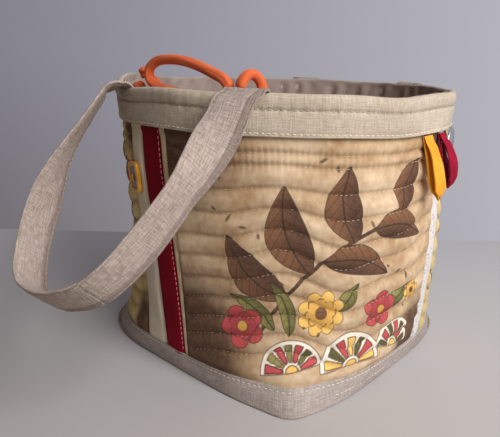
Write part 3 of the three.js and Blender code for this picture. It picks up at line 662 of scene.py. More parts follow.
def add_casing_cord():
    azimuth, phi = linspace(LEAD_TURN, 360 - LEAD_TURN, 400) + KNOT_AZIMUTH, turns(12)
    theta = rad(azimuth)[:, None]
    points = cloth_point(theta, CASING_HEIGHT + 3.3 * cos(phi) + 0 * theta, 1.0 + 1.25 * sin(phi))
    as_cord(
        grid_object("casing_cord", points, azimuth * 2.16, linspace(0, 16, 13), along=True),
        "drawstring_in_casing",
    )


add_cord("large_loop", 0.0, [*bow_knot(), add_lead(-1, "left"), add_lead(1, "right")])
add_cord("small_loop", 1.3)
upper, lower = end_knot("upper"), end_knot("lower")
add_cord("upper_tail", 2.1, [upper])
add_cord("lower_tail", 3.4, [lower])
add_casing_cord()


# ---- printed design


class Print:
    """Signed distances, in millimetres, from a grid of cloth points to the shapes of a printed design."""

    FAR = 60.0

    def __init__(self, s, z):
        self.s, self.z = s, z
        far = np.full(s.shape, self.FAR)
        self.nearest = {"leaf": far, "flower": far}
        self.values = {key: far for key in ("brown", "olive", "cream", "crimson", "gold", "seed")}
        self.values |= {key: 0 * far for key in ("leaf_n", "leaf_t", "petal", "shade")}

    def clear(self, distance, *keys):
        """Takes a shape out of colours."""
        for key in keys:
            self.values[key] = np.maximum(self.values[key], -distance)

    def put(self, key, distance, *under):
        """Adds a shape to a colour, and takes it out of the ones under it."""
        self.clear(distance, *under)
        self.values[key] = np.minimum(self.values[key], distance)

    def note(self, kind, distance, **values):
        """Keeps each point's values for the leaf or flower nearest to it."""
        near = distance < self.nearest[kind]
        self.nearest[kind] = np.where(near, distance, self.nearest[kind])
        for key, value in values.items():
            self.values[key] = np.where(near, value, self.values[key])

    def corner(self, x, y, reach_x, reach_y, weight):
        """Dark brown in a corner of the panel."""
        spread = np.abs((self.s - x) / reach_x) ** 2.2 + np.abs((self.z - y) / reach_y) ** 2.2
        self.values["shade"] = np.maximum(self.values["shade"], weight * np.exp(-spread))

    def seeds(self, count, wide, seed):
        """Small seeds spread over the ground."""
        for k in range(count):
            x = self.s - 7 - (k * 0.618034 + seed) % 1.0 * (wide - 14)
            y = self.z - 30 - (k * 0.754878 + 2 * seed) % 1.0 * 134
            turn, long = 6.0 * sin(3.1 * k + seed), 2.0 + 0.8 * sin(1.7 * k)
            a, b = x * cos(turn) + y * sin(turn), y * cos(turn) - x * sin(turn)
            self.put("seed", (np.hypot(a / long, b) - 1) * 0.8)

    def stem(self, *points):
        half = 1.1
        path, _ = spline([(x, y, 0.0) for x, y in points], 1.5)
        off = [np.hypot(self.s - x, self.z - y) for x, y, _ in path]
        self.put("brown", np.min(off, axis=0, initial=self.FAR) - half)

    def leaf(self, start, end, half, key="brown", bend=0.12):
        long = np.hypot(end[0] - start[0], end[1] - start[1])
        ux, uy = (end[0] - start[0]) / long, (end[1] - start[1]) / long
        x, y = self.s - start[0], self.z - start[1]
        along = x * ux + y * uy
        t = clip(along / long, 0, 1)
        across = y * ux - x * uy - bend * long * sin(pi * t)
        beyond = np.maximum(np.maximum(-along, along - long), 0)
        inside = np.abs(across) - half * sin(pi * t**0.8) ** 0.85
        distance = np.where(beyond > 0, np.hypot(beyond, across), inside)
        self.note("leaf", distance, leaf_n=across, leaf_t=along)
        self.put(key, distance)

    def flower(self, x, y, size, petals, key, heart):
        """A round of petals with a smaller one drawn on it, and a heart."""
        r = np.hypot(self.s - x, self.z - y)
        phi = np.arctan2(self.z - y, self.s - x) + x
        lobes, inner = (np.abs(cos(petals / 2 * phi + turn)) ** 0.6 for turn in (0, pi / 2))
        outer = r - size * (0.68 + 0.32 * lobes)
        self.clear(outer - 0.6, "brown", "olive", "cream")
        self.note("flower", outer, petal=1.4 * (r / size) - 0.9 + 0.5 * lobes)
        self.put(key, outer)
        self.clear(np.abs(r - size * 0.66 * (0.68 + 0.32 * inner)) - 0.25, key)
        self.put(heart, r - 0.24 * size, key)

    def fan(self, x, y, size, turn, *fills):
        """A cream half disc with coloured blades, like an opened paper fan."""
        blades = 7
        x, y = self.s - x, self.z - y
        r = np.hypot(x, y)
        phi = (np.arctan2(y, x) - turn + pi) % (2 * pi) - pi
        straight = -(x * cos(turn) + y * sin(turn))
        self.put("cream", np.maximum(r - size, straight), "brown", "olive", "crimson", "gold")
        step = pi / blades
        for i in range(blades):
            off = (np.abs(phi + pi / 2 - (i + 0.5) * step) - step * 0.34) * np.maximum(r, 1)
            blade = np.maximum(off, np.maximum(r - 0.86 * size, 0.3 * size - r))
            self.put(fills[i % len(fills)], blade, "cream")
        self.put("gold", np.maximum(r - 0.2 * size, straight), "cream")


# Each design: its panel's first azimuth, where its mirror image starts, and its shapes in order
MEADOW = 275.2, 206.0, {  # a spray of brown leaves over flowers and a row of fans
    # brown corners of the print; the two wide ones at the left also stand in for shade there, as painted
    # shade
    Print.corner: [
        (6, 176, 40, 42, 1.0), (189, 178, 17, 16, 1.0), (14, 18, 40, 60, 1.0), (193, 16, 18, 40, 1.0),
    ],
    Print.seeds: [(26, 189, 0.31)],
    Print.stem: [((60, 40), (78, 70), (102, 97), (134, 117), (164, 127))],
    Print.leaf: [
        ((80, 72), (40, 112), 12), ((94, 90), (76, 146), 13.5), ((104, 98), (150, 86), 10),
        ((122, 110), (116, 158), 12), ((136, 118), (180, 108), 10), ((158, 126), (172, 160), 9.5),
        ((74, 50), (42, 72), 5.5, "olive", -0.1), ((110, 62), (128, 82), 5.5, "olive", -0.1),
        ((150, 62), (178, 74), 6, "olive", -0.1), ((84, 46), (70, 84), 5, "olive", -0.1),
    ],
    Print.fan: [
        (86, 24, 20, 1.75, "crimson", "olive"), (128, 22, 24, 1.6, "gold", "crimson", "olive"),
        (168, 26, 21, 1.4, "olive", "crimson"),
    ],
    Print.flower: [
        (52, 50, 15, 5, "crimson", "gold"), (104, 62, 16, 8, "gold", "brown"),
        (148, 60, 13.5, 5, "crimson", "gold"), (180, 66, 8.5, 6, "gold", "brown"),
    ],
}
ORCHARD = 189.0, 141.0, {  # upright leaves and gold flowers for the side panels
    Print.corner: [(0, 16, 14, 40, 0.95), (141, 176, 20, 22, 0.95), (141, 18, 12, 30, 0.95)],
    Print.seeds: [(18, 141, 0.77)],
    Print.stem: [((26, 20), (34, 60), (60, 96), (92, 120), (112, 152))],
    Print.leaf: [
        ((34, 60), (14, 104), 11), ((46, 80), (84, 66), 10), ((60, 96), (44, 146), 13),
        ((80, 111), (124, 98), 11), ((104, 136), (92, 168), 8),
        ((30, 44), (62, 36), 6, "olive", -0.1), ((92, 44), (118, 66), 6, "olive", -0.1),
    ],
    Print.flower: [
        (84, 40, 15, 8, "gold", "brown"), (26, 146, 10, 6, "gold", "crimson"),
        (120, 138, 10, 5, "crimson", "gold"),
    ],
}


# ---- patchwork wall

QUILT_LEVELS = array([164.5, 157.0, 142.0, 127.5, 112.0, 97.5, 82.0, 68.0, 54.0, 41.0, 29.0])
WALL_ARC = 125.0  # length of cloth for one radian


def quilt_swing(u, z):
    height = 0.8 + 4.6 * smooth((163 - z) / 60)
    return height * (sin(2 * pi * u / 118 + 0.4) + 0.4 * sin(2 * pi * u / 61 + 2.1 + z / 60))


def quilt_off(u, z):
    """Distance from the nearest line of quilting."""
    return np.min(np.abs((z + quilt_swing(u, z))[..., None] - QUILT_LEVELS), axis=-1)


def quilt_inset(u, z):
    """Stitched grooves with puffed cloth between them and puckers beside them."""
    off = quilt_off(u, z)
    groove = 1.2 * bell(off, 1.2) - 1.3 * (1 - bell(off, 5.0))
    ribs = sin(2 * pi * u / 3.7 + 1.3 * sin(u / 11) + z / 9) * bell(off, 4.0)
    ribs = ribs * (0.14 + 0.2 * smooth((z - 145) / 15))
    return groove + ribs + 0.4 * sin(u / 9 + z / 13) + 0.35 * sin(u / 17 - z / 8 + 1)


def quilt_lines(low, high):
    """Points of the quilting stitches between two azimuths, their directions and the way out."""
    rows = []

    def height(u, level):
        z = level + 0 * u
        for _ in range(8):
            z = level - quilt_swing(u, z)
        return z

    for k, level in enumerate(QUILT_LEVELS):
        u = arange(low * WALL_ARC + 2.5, high * WALL_ARC - 2, 3.3) + 0.4 * (k % 3)
        u = u[(height(u, level) > 19) & (height(u, level) < 172)]
        ends = []
        for v in (u - 1, u + 1):
            z = height(v, level)
            ends.append(cloth_point(v / WALL_ARC, z, quilt_inset(v, z) - 0.1))
        rows.append(((ends[0] + ends[1]) / 2, ends[1] - ends[0], outwards(u / WALL_ARC)))
    return [vstack(part) for part in zip(*rows)]


def edge_steps(width, spacing):
    """Positions across a patch, closer together at its two seams."""
    near = array([0.0, 0.0, 0.3, 0.8] if width < 6.5 else [0.0, 0.0, 0.45, 1.0, 1.7, 2.6])
    last = near[-1]
    middle = linspace(last, width - last, max(3, int((width - 2 * last) / spacing) + 1))
    return concatenate([near[:-1], middle, width - near[:-1][::-1]])


def add_patch(seam, following, half):
    name, side, top, bottom = seam
    next_top, next_bottom = following[2:]
    full = f"{('front', 'left', 'back', 'right')[2 * half + side]}_{name}"
    turn, printed = 180.0 * half, name == "print_panel"

    def seam_theta(top, bottom, z):
        return rad(bottom + (top - bottom) * z / BAND_BOTTOM + turn)

    spacing = 1.25 if printed else 1.7
    width = max(next_top - top, next_bottom - bottom) * rad(1) * WALL_ARC
    z = concatenate([[13.6, 13.9, 14.4, 15.2, 16.2, 17.4], arange(18.6, 175.6, spacing), [177.0]])
    s, z = np.meshgrid(edge_steps(width, spacing) / width, z, indexing="ij")
    low, high = seam_theta(top, bottom, z), seam_theta(next_top, next_bottom, z)
    theta = low + (high - low) * s
    u = theta * WALL_ARC
    edge = np.minimum(s, 1 - s) * (high - low) * WALL_ARC
    inset = 1.1 * bell(edge, 1.5) + 0.7 * bell(np.maximum(z - 15.2, 0), 1.6)
    if printed:
        inset = inset + quilt_inset(u, z) * smooth(edge / 5) * smooth((z - 15) / 6)
    else:
        soft = 0.22 * sin(z / 5.5 + 3 * s + side) + 0.18 * sin(z / 12 + u / 7)
        inset = inset - 0.35 * smooth(edge / 6) + soft * smooth(edge / 3)
    inset = inset * (1 - smooth((z - 168) / 5)) + 0.4 * smooth((z - 172) / 4)
    inset[[0, -1], :] += 1.6  # the patch's own edges are turned in
    patch = grid_object(full, cloth_point(theta, z, inset), u, z)
    looks = {
        "dotted_strip": ("dotted_cotton", "dotted_cotton"), "cream_strip": ("cream_cloth", "cream_cotton"),
        "red_strip": ("red_cloth", "red_cotton"), "edging_strip": ("edging_cloth", "edging_cotton"),
        "print_panel": (("tan_print", "side_print")[side], "tan_print"),
    }
    dress(patch, *looks[name], full)
    if printed:
        start, mirror, shapes = (MEADOW, ORCHARD)[side]
        across = (theta - rad(start + turn)) * WALL_ARC
        design = Print(mirror - across if half else across, z)
        for draw, rows in shapes.items():
            for row in rows:
                draw(design, *row)
        # painted shade: strongest in the quilting grooves, beside the patch seams and above the base seam
        painted_groove_shade = bell(quilt_off(u, z), 2.2) + 0.7 * bell(edge, 3.0) + 0.8 * bell(z - 15, 5)
        design.values["painted_groove_shade"] = clip(painted_groove_shade, 0, 1)
        for key, values in design.values.items():
            set_values(patch, key, values)
        stitches = strokes(f"{full}_quilting", *quilt_lines(low[0].max(), high[0].min()), 1.9, 0.17)
        dress(stitches, "quilt_thread", "cream_cotton")
    if name == "red_strip":
        at = arange(20, 172, 3.7)
        theta = seam_theta(next_top, next_bottom, at) - 1.5 / WALL_ARC
        points = cloth_point(theta, at, 0.25)
        runs = cloth_point(theta - 0.0005, at + 1, 0.25) - points
        row = strokes(f"{full}_stitches", points, runs, outwards(theta), 2.4, 0.28)
        dress(row, "pink_thread", "red_cotton")


for half in (0, 1):
    for first, following in zip(SEAMS, SEAMS[1:]):
        add_patch(first, following, half)


# ---- base, lining and rim


def ring_piece(name, profile, steps, ripple, keep=None, flip=False):
    """A surface all the way round; profile rows are depth in from the wall's face, and height."""
    profile = array(profile, float)
    theta, inset = np.meshgrid(turns(steps), profile[:, 0], indexing="ij")
    z = 0 * theta + profile[:, 1]
    extra, lift = ripple(theta, z)
    points = cloth_point(theta, z + lift, inset + extra)
    around = linspace(0, 2 * pi, steps + 1) * WALL_ARC
    return grid_object(name, points, around, lengths(profile), True, keep=keep, flip=flip)


def stitch_row(name, z, inset, length, radius, material, slot, ripple):
    """A row of stitches all the way round at one height."""
    theta = turns(int(2 * pi * WALL_ARC / STITCH_PITCH))

    def at(t):
        extra, lift = ripple(t, z + 0 * t)
        return cloth_point(t, z + lift, inset + extra)

    row = strokes(name, at(theta), at(theta + 0.004) - at(theta - 0.004), outwards(theta), length, radius)
    dress(row, material, slot)


def base_ripple(t, z):
    slack = 0.35 * sin(4 * t + 0.5) + 0.25 * sin(11 * t + z / 4) + 0.12 * sin(31 * t + 2 * sin(5 * t))
    return slack * smooth(z / 5) * smooth((15.5 - z) / 4), 0.0


def add_base():
    z = array([0.9, 2.0, 3.2, 4.6, 6.2, 8.0, 9.8, 11.4, 12.6, 13.2, 13.7, 14.3, 15.0, 15.5])
    face = 0.25 * bell(z - 13.3, 0.7) - 0.5 * sin(pi * clip(z / 13, 0, 1)) - 0.1 * (z > 13.4)
    under = [(inset, 0.0) for inset in (110.0, 80.0, 50.0, 30.0, 14.0, 6.0, 2.0)] + [(0.9, 0.15), (0.3, 0.45)]
    profile = under + list(zip(face, z)) + [(0.25, 15.75), (0.9, 15.6), (2.6, 15.0)]
    outer = ring_piece("base_cloth", profile, 600, base_ripple)
    dress(outer, "base_linen", "linen", "base_outer")
    stitch_row("base_seam_stitches", 13.4, 0.1, 2.5, 0.33, "cream_thread", "cream_cotton", base_ripple)
    theta = rad(arange(328, 352, 1.6))
    points, ahead = (cloth_point(t, 7.0, -0.75) for t in (theta, theta + 0.004))
    row = strokes("base_extra_stitches", points, ahead - points, outwards(theta), 2.5, 0.3)
    dress(row, "cream_thread", "cream_cotton")


def add_lining():
    def wall_ripple(t, z):
        soft = 0.5 * sin(6 * t + z / 40) + 0.3 * sin(17 * t + z / 25) + 0.2 * sin(43 * t + z / 14)
        return soft * smooth((z - 6) / 12) * smooth((174 - z) / 10) + 0.25, 0.0

    def floor_ripple(t, z):
        return 0.0, 0.2 * sin(9 * t) + 0.15 * sin(23 * t + 1)

    z = concatenate([[5.6, 6.2, 7.2, 9.0, 12.0], arange(16, 174, 4.0), [174.6]])
    wall = list(zip(LINING_IN + 0.1 + 0.8 * np.exp(-(z - 5.6) / 1.2), z))
    inset = concatenate([[5.2, 6.2, 8, 11], linspace(15, 108, 16)])
    floor = list(zip(inset, FLOOR_TOP + 0.1 + 0.35 * sin(inset / 9)))
    sheet = ring_piece("lining_sheet", wall, 360, wall_ripple, flip=True)
    ground = ring_piece("lining_ground", floor, 240, floor_ripple, flip=True)
    dress(sheet, "lining_cloth", "lining", "lining_wall")
    dress(ground, "lining_cloth", "lining", "lining_floor")
    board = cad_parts["base_board"].data.materials
    board.clear()
    board.append(MATERIALS["board_sheet"])


def band_ripple(t, z):
    """Puckers beside the band's stitch rows, and soft dents."""
    ribs = sin(86 * t + 2.2 * sin(7 * t)) + 0.6 * sin(131 * t + 1.5 * sin(5 * t))
    near = bell(z - HEM_LINE, 3.4) + 0.5 * bell(z - 177, 3.0) + 0.45 * bell(z - 198, 3.0)
    dents = 0.35 * sin(8 * t + z / 9) + 0.25 * sin(15 * t - z / 6 + 1.0)
    return 0.17 * ribs * near + dents * smooth((z - 176) / 5), 0.0


def add_band():
    z = array([
        175.2, 175.7, 176.3, 176.8, 177.3, 178.2, 180, 182, 184, 186, 187.8, 188.9, 189.6, 190.1, 190.5,
        191.0, 191.8, 192.9, 194.2, 195.6,
    ])
    face = BAND_OUT - 0.4 * sin(pi * clip((z - 177) / 13, 0, 1)) + 0.3 * bell(z - 176.9, 0.7)
    face = face + 0.85 * bell(z - HEM_LINE, 0.8) - 0.8 * sin(pi * clip((z - 190) / 11, 0, 1))
    middle, wide, tall = (face[-1] + HEM_IN) / 2, (HEM_IN - face[-1]) / 2, 199.8 - z[-1]
    turn = rad(linspace(0, 180, 15))[1:]
    roll = list(zip(middle - wide * cos(turn), z[-1] + tall * sin(turn)))
    start = [(BAND_IN, 177.5), (BAND_IN, 175.6), (-1.2, 175.0), (-2.2, 174.9)]
    profile = start + list(zip(face, z)) + roll + [(HEM_IN, 190.0)]
    band = ring_piece("rim_cloth", profile, 720, band_ripple)
    dress(band, "band_linen", "band_linen", "rim_band")
    look = "band_linen", band_ripple
    stitch_row("band_low_stitches", 176.9, BAND_OUT + 0.1, 2.5, 0.33, "cream_thread", *look)
    stitch_row("band_hem_stitches", HEM_LINE, BAND_OUT + 0.45, 2.4, 0.3, "linen_thread", *look)


def add_facing():
    """The inside of the rim, with the two slits for the drawstring."""

    def ripple(t, z):
        soft = 0.8 * sin(37 * t + 2 * sin(6 * t)) + 0.45 * sin(61 * t + z / 8)
        return soft * smooth((198.5 - z) / 6) * smooth((z - 174) / 3), 0.2 * sin(33 * t)

    steps, slit_radius, slit_wide, slit_high = 1200, 120.6, 13.2, 4.6
    z = concatenate([arange(173.4, 198, 0.9), [198.6, 199.0, 199.3, 199.4]])
    deep = FACING_IN - 0.9 * (np.maximum(z - 198.2, 0) / 1.2) ** 2
    profile = vstack([stack([deep, z], 1), [2.75, 199.2]])
    hole = np.zeros((steps, len(profile)), bool)
    for side in (-1, 1):
        middle = KNOT_AZIMUTH + side * (LEAD_TURN - degrees(SLIT_LENGTH / WALL_DIAMETER))
        across = rad(turn_gap(degrees(turns(steps)), middle))[:, None] * slit_radius
        hole |= (across / slit_wide) ** 2 + ((profile[:, 1] - CASING_HEIGHT) / slit_high) ** 2 < 1
    hole &= np.roll(hole, -1, 0)
    facing = ring_piece("facing_cloth", profile, steps, ripple, ~(hole[:, :-1] & hole[:, 1:]), True)
    dress(facing, "lining_cloth", "lining", "rim_facing")


add_base()
add_lining()
add_band()
add_facing()


# ---- handles

HANDLE_ROOT = [  # share of the way from the pocket to the hinge, and height
    (0, 190.0), (0, 194.0), (0, 197.6), (0.1, 199.5), (0.36, 200.8), (0.66, 200.7), (0.9, 199.5),
]
ROOT_LENGTH = 9  # of the strap's curve, which the root takes the place of
SEAM_OVERLAP = 0.7
STRAP_STITCHES = 10.9  # from the strap's middle


def ribbon(name, path, across, section, widths, shape):
    """A flat strip along a path. The section has x from edge to edge and y for its two faces."""
    along = unit(np.gradient(path, axis=0))
    across = unit(across - along * np.sum(across * along, axis=1, keepdims=True))
    normal = np.cross(across, along)
    x, y = (concatenate([part, sign * part[::-1]]) for part, sign in zip(section, (1, -1)))
    run = lengths(path)
    high = shape(run[:, None], x[None], y + 0 * run[:, None])
    points = swept(path, x * widths[:, None], high, across, normal)
    return grid_object(name, points, run, concatenate([x, x[:1]]) + 20.0, along=True), run, across, normal


def strap_section(stripe_side):
    """Half of the strap's section, and how much of each point is in the painted shadow on its turned flange.
    """
    edge_x = array([9.4, 10.1, 10.6, 10.9, 11.2, 11.6, 12.0, 12.3, 12.46, 12.5])
    x = concatenate([-edge_x[::-1], linspace(-8.6, 8.6, 27), edge_x])
    edge = clip((STRAP_WIDTH / 2 - np.abs(x)) / 0.9, 0, 1)
    y = STRAP_THICKNESS / 2 * np.sqrt(1 - (1 - edge) ** 2)
    y = y + 0.4 * smooth((11 - np.abs(x)) / 4) - 0.35 * bell(np.abs(x) - STRAP_STITCHES, 0.45)
    y = y - 0.5 * bell(x - stripe_side * 7.3, 0.42)
    return (x, np.maximum(y, 0.03)), smooth((x * stripe_side - 7.0) / 0.6)


def handle_paths(turn, tilt):
    """Both halves of a handle from the pocket in the hem to the cross seam, in the handle's own frame."""
    curve, run = spline([(x * HINGE_SIDE, 0, -y * HANDLE_DROP) for x, y in HANDLE_OUTLINE], 0.8)
    t, a = rad(tilt), rad(HANDLE_HALF_ANGLE)
    to_frame = array([[1.0, 0, 0], [0, cos(t), -sin(t)], [0, sin(t), cos(t)]])
    points = curve @ to_frame + [0, -HINGE_OUT, HINGE_HEIGHT]
    sideways = np.cross([0, 1.0, 0], unit(np.gradient(curve, axis=0)))
    for side, name in ((1, "right"), (-1, "left")):
        if side == 1:
            distance, end = run, CROSS_SEAM_AT
            twist, gather = smooth(distance / TWIST_LENGTH), 0 * run
        else:  # gathered at the rim, so it is seen nearly edge on there
            distance, end = run[-1] - run, run[-1] - CROSS_SEAM_AT
            twist, gather = smooth(distance / 14), 1.1 * (1 - smooth((distance - 25) / 80))
        twist = pi / 2 * twist[:, None]
        across = (cos(twist) + gather[:, None]) * sideways + sin(twist) * [0, -1.0, 0]
        keep = (distance > ROOT_LENGTH) & (distance < end + SEAM_OVERLAP)
        way, over, at = (part[keep][::side] for part in (points, -side * across @ to_frame, distance))
        pocket = array([side * sin(a) * POCKET_RADIUS, -cos(a) * POCKET_RADIUS, 0])
        reach = [side * HINGE_SIDE, -HINGE_OUT, 0] - pocket
        sunk = rim_lift(rad(270 + turn + side * HANDLE_HALF_ANGLE)) - 1.1 * (turn > 90)
        root = [pocket + reach * share + UP * (z + sunk) for share, z in HANDLE_ROOT]
        whole, length = spline(vstack([root, way[:-6:12], way[-1:]]), 1.5)
        far = length - length[np.linalg.norm(whole - way[0], axis=1).argmin()] + ROOT_LENGTH
        share = smooth((far + 5) / 13 if side == -1 else far / 40)[:, None]
        rim = array([cos(a), side * sin(a), 0.0])
        yield name, side, whole, rim * (1 - share) + sample(far, at, over) * share, far


def add_handle(name, turn, tilt):
    spin = array(Matrix.Rotation(rad(turn + HANDLE_TURN), 3, "Z"))
    hinge = spin @ [0, -HINGE_OUT, HINGE_HEIGHT]
    reach = spin @ [0, -cos(rad(20)), -sin(rad(20))]
    start, end = (hinge - 3.0 * reach) * MM, (hinge + 5.0 * reach) * MM
    for leg, side, path, across, far in handle_paths(turn + HANDLE_TURN, tilt):
        path, across = path @ spin.T, across @ spin.T
        section, flange_shadow = strap_section(side)
        seed = 1.3 * side + turn / 50
        near_end = clip((far[-1] - far) / 0.8, 0, 1)
        widths = 1 + 0.012 * sin(far / 13 + seed) - 0.01 * (1 - near_end)

        def shape(run, x, high, seed=seed, length=far[-1]):
            soft = 0.45 * sin(run / 17 + seed) + 0.3 * sin(run / 9.3 + x / 8 + 2 * seed)
            dent = 0.14 * sin(run / 2.9 + 1.5 * sin(x / 3 + run / 19) + seed) * bell(np.abs(x) - 9.5, 4)
            return high + (soft + dent) * smooth((run - 22) / 15) * smooth((length - run) / 14)

        def closing(run, x, high, shape=shape, near_end=near_end[:, None]):
            return shape(run, x, high) * (0.92 + 0.08 * np.sqrt(1 - (1 - near_end) ** 2))

        strap, run, over, normal = ribbon(f"{name}_{leg}_strap_cloth", path, across, section, widths, closing)
        # where the painted shadow of the turned flange lies
        set_values(strap, "flange_shadow", np.tile(concatenate([flange_shadow, flange_shadow[::-1]]), len(run)))
        dress(strap, "strap_linen", "linen", f"{name}_{leg}_end", f"{name}_{leg}_strap", body=None)
        along = unit(np.gradient(path, axis=0))
        by_edge = arange(26.0, run[-1] - 2, STITCH_PITCH)
        by_seam = run[[np.abs(run - run[-1] + 2.2).argmin()]]
        places = [(x, 0.72, along, by_edge) for x in (-STRAP_STITCHES, STRAP_STITCHES)]
        places += [(x, 1.2, over, by_seam) for x in arange(-9.5, 9.6, 3.2)]
        rows = []
        for x, high, direction, at in places:
            middle, side_on, out, way = (sample(at, run, part) for part in (path, over, normal, direction))
            for face in (1, -1):
                y = shape(at, x, face * high)[:, None]
                rows.append((middle + side_on * x + out * y, way, face * out))
        rows = (vstack(part) for part in zip(*rows))
        stitches = strokes(f"{name}_{leg}_strap_stitches", *rows, 2.3, 0.22)
        dress(stitches, "strap_thread", "linen", body=None)
        for soft in (strap, stitches):
            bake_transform(soft)
            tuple(start)
            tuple(end)


add_handle("front_handle", 0.0, FRONT_TILT)
add_handle("back_handle", 180.0, BACK_TILT)


# ---- hanging loops and buttons


def add_hanging_loop(name, azimuth, length, turn_down, gape, drift, material, slot, stitched):
    """A folded strip, sewn shut at the top, slightly open, with a mitred point below."""
    half, tilt, opening = 5.0, 13.0, 0.93
    tip = opening + (1 - opening) * (1 - (1 - linspace(0.12, 1, 9)) ** 2)
    t = concatenate([linspace(0, opening, 44), tip])
    bulge = 0.5 + 0.25 * smooth(t * length / 4 - 1)
    bulge = bulge + gape * sin(pi * clip(t * 1.02, 0, 1) ** 1.3) ** 0.8 * (t < 0.98)
    last = t > opening
    bulge[last] = np.interp(t[last], [opening, 1.0], [bulge[~last][-1], 0.0])
    share, out = (concatenate([part, part[:-1][::-1]]) for part in (t, bulge))
    out = out - 0.5 + concatenate([bulge, -bulge[:-1][::-1]])  # the inner leg hangs straight
    down, twist = share * length, rad(turn_down) * smooth(share / 0.8)
    path = stack([out * cos(twist), out * sin(twist) + drift * share**1.3, -down], 1)
    over = stack([-sin(twist), cos(twist), 0 * twist], 1)
    widths = clip((length - down) / (half * 1.3), 0.12, 1) * (1 - 0.04 * sin(share * 9 + azimuth))
    edge_x = array([1.2, 2.4, 3.4, 4.0, 4.5, 4.8, 4.97, 5])
    x = concatenate([-edge_x[::-1], [0], edge_x])
    y = 0.62 * np.sqrt(1 - (1 - clip((half - np.abs(x)) / 0.6, 0, 1)) ** 2) + 0.02
    y = y + 0.2 * smooth((4 - np.abs(x)) / 2)

    def shape(run, x, high):
        near_root = smooth(np.minimum(run, 2 * length - run) / 4 - 1)
        soft = 0.18 * sin(run / 4.1 + x / 2 + azimuth) + 0.12 * sin(run / 2.3 - x)
        return high * (0.5 + 0.5 * near_root) + soft * near_root

    spin = array(Matrix.Rotation(rad(azimuth), 3, "Z"))
    put = (spin @ array(Matrix.Rotation(rad(-tilt), 3, "Y"))).T
    path, over = path @ put + spin @ [126.0, 0, BAND_BOTTOM - 1.5], over @ put
    strip, run, across, normal = ribbon(f"{name}_cloth", path, over, (x, y), widths, shape)
    dress(strip, material, slot, name, body=name)
    if stitched:
        at = arange(3.0, length - 5, 2.9)
        k = np.searchsorted(run, stack([at, run[-1] - at])).clip(0, len(run) - 1).repeat(2, 0)
        x = array([-2.9, 2.9] * 2)[:, None, None]
        middle = path[k] + across[k] * x * widths[k][..., None] + normal[k] * 0.78
        rows = (part.reshape(-1, 3) for part in (middle, unit(np.gradient(path, axis=0))[k], normal[k]))
        dress(strokes(f"{name}_stitches", *rows, 1.9, 0.24), "pink_thread", slot, body=name)


def wall_frame(azimuth, z):
    """Matrix whose X points out of the wall at a place on it."""
    face = cloth_radius(rad(azimuth), array([z, z + 1.0]))
    turn = Matrix.Rotation(rad(azimuth), 4, "Z") @ Matrix.Translation((face[0], 0, z))
    return turn @ Matrix.Rotation(np.arctan(face[1] - face[0]), 4, "Y")


def settle(obj, place, *look):
    """Puts a piece that was made at the origin in its place on the wall."""
    obj.data.transform(Matrix.Scale(MM, 4) @ place @ Matrix.Scale(1 / MM, 4))
    dress(obj, *look)


def lathe(name, profile, steps):
    """A turned solid round X; the profile has radius and height rows."""
    r, x = array(profile, float).T
    phi = turns(steps)[:, None]
    points = stack([x + 0 * phi, r * cos(phi), r * sin(phi)], -1)
    return grid_object(name, points, arange(steps + 1) * 1.0, x, around=True)


def add_metal_button():
    place = wall_frame(14.5, BAND_BOTTOM - 11.0)
    look = "satin_metal", "silver_metal"
    settle(lathe("metal_disc", [
        (0.01, 3.6), (6, 3.6), (11.4, 3.6), (12.0, 3.7), (12.4, 4.0), (12.5, 4.35), (12.4, 4.8), (12.0, 5.2),
        (11.2, 5.45), (10.4, 5.35), (9.8, 5.0), (9.2, 4.85), (7, 4.8), (4, 4.9), (1.5, 5.05), (0.01, 5.1),
    ], 96), place, *look, "metal_button")
    settle(lathe("metal_shank", [
        (0.01, 0.2), (2.5, 0.3), (2.2, 0.9), (2.1, 2.4), (2.4, 3.3), (0.01, 3.5),
    ], 32), place, *look, "metal_button_shank")


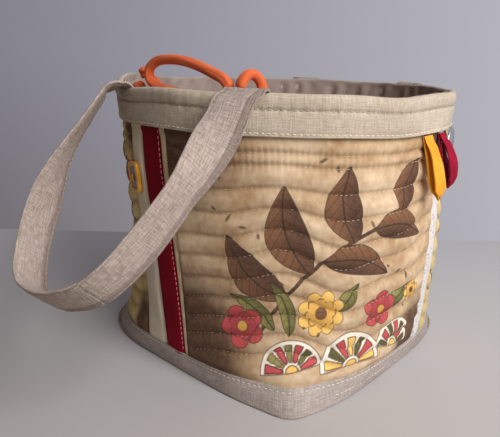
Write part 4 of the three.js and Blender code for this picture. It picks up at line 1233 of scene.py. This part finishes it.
def rounded_rings(rows, wide, tall):
    """Rounded rectangles; each row has inset, height and corner radius."""
    rings = []
    for inset, height, corner in rows:
        x, y = wide / 2 - inset - corner, tall / 2 - inset - corner
        ring = []
        for k, (sx, sy) in enumerate(((1, 1), (-1, 1), (-1, -1), (1, -1))):
            turn = linspace(0, pi / 2, 7) + k * pi / 2
            side, up = sx * x + corner * cos(turn), sy * y + corner * sin(turn)
            ring.append(stack([height + 0 * turn, side, up], 1))
        rings.append(vstack(ring))
    return stack(rings, 1)


def add_frame_button():
    wide, tall, border = 16.0, 22.0, 3.4
    place = wall_frame(254.8, BAND_BOTTOM - 38.0) @ Matrix.Translation((0.3, 0, 0))
    place = place @ Matrix.Rotation(rad(8), 4, "X")
    rings = rounded_rings([
        (3.4, 0.2, 1.7), (0.5, 0.0, 3.0), (0.1, 0.3, 3.3), (0, 0.8, 3.4), (0, 1.9, 3.4), (0.15, 2.5, 3.3),
        (0.5, 2.85, 3.1), (1.0, 3.0, 2.9), (1.7, 3.05, 2.5), (2.4, 3.0, 2.2), (2.9, 2.85, 2.0),
        (3.25, 2.5, 1.8), (3.4, 2.0, 1.7),
    ], wide, tall)
    rim = grid_object("button_frame", rings, arange(29) * 2.6, arange(14) * 1.2, True, True)
    settle(rim, place, "yellow_resin", "yellow_plastic", "left_button_rim")
    rings = rounded_rings([
        (4.4, 0.3, 0.1), (0.2, 0.3, 1.5), (0.0, 0.6, 1.7), (0, 1.7, 1.7), (0.15, 2.1, 1.6), (0.5, 2.35, 1.4),
        (1.2, 2.4, 1.0), (2.6, 2.3, 0.6), (4.4, 2.2, 0.1),
    ], wide - 2 * border - 0.2, tall - 2 * border - 0.2)
    centre = grid_object("button_middle", rings, arange(29) * 1.6, arange(9) * 1.0, True)
    settle(centre, place, "blue_resin", "blue_plastic", "left_button_centre")
    t = linspace(0, 1, 26)
    path = stack([2.3 + 1.0 * sin(pi * t), 0.5 * sin(3 * pi * t), -3.0 + 6.0 * t], 1)
    sewn = tube("button_thread", path, 0.75, 12, 0.1, 0.4)
    settle(sewn, place, "yellow_thread", "yellow_plastic")


add_hanging_loop("yellow_loop", 356.5, 42.0, -12.0, 1.7, 6.0, "yellow_cloth", "yellow_fabric", False)
add_hanging_loop("crimson_loop", 6.2, 37.0, -15.0, 2.6, 2.0, "crimson_cloth", "crimson_fabric", True)
add_metal_button()
add_frame_button()
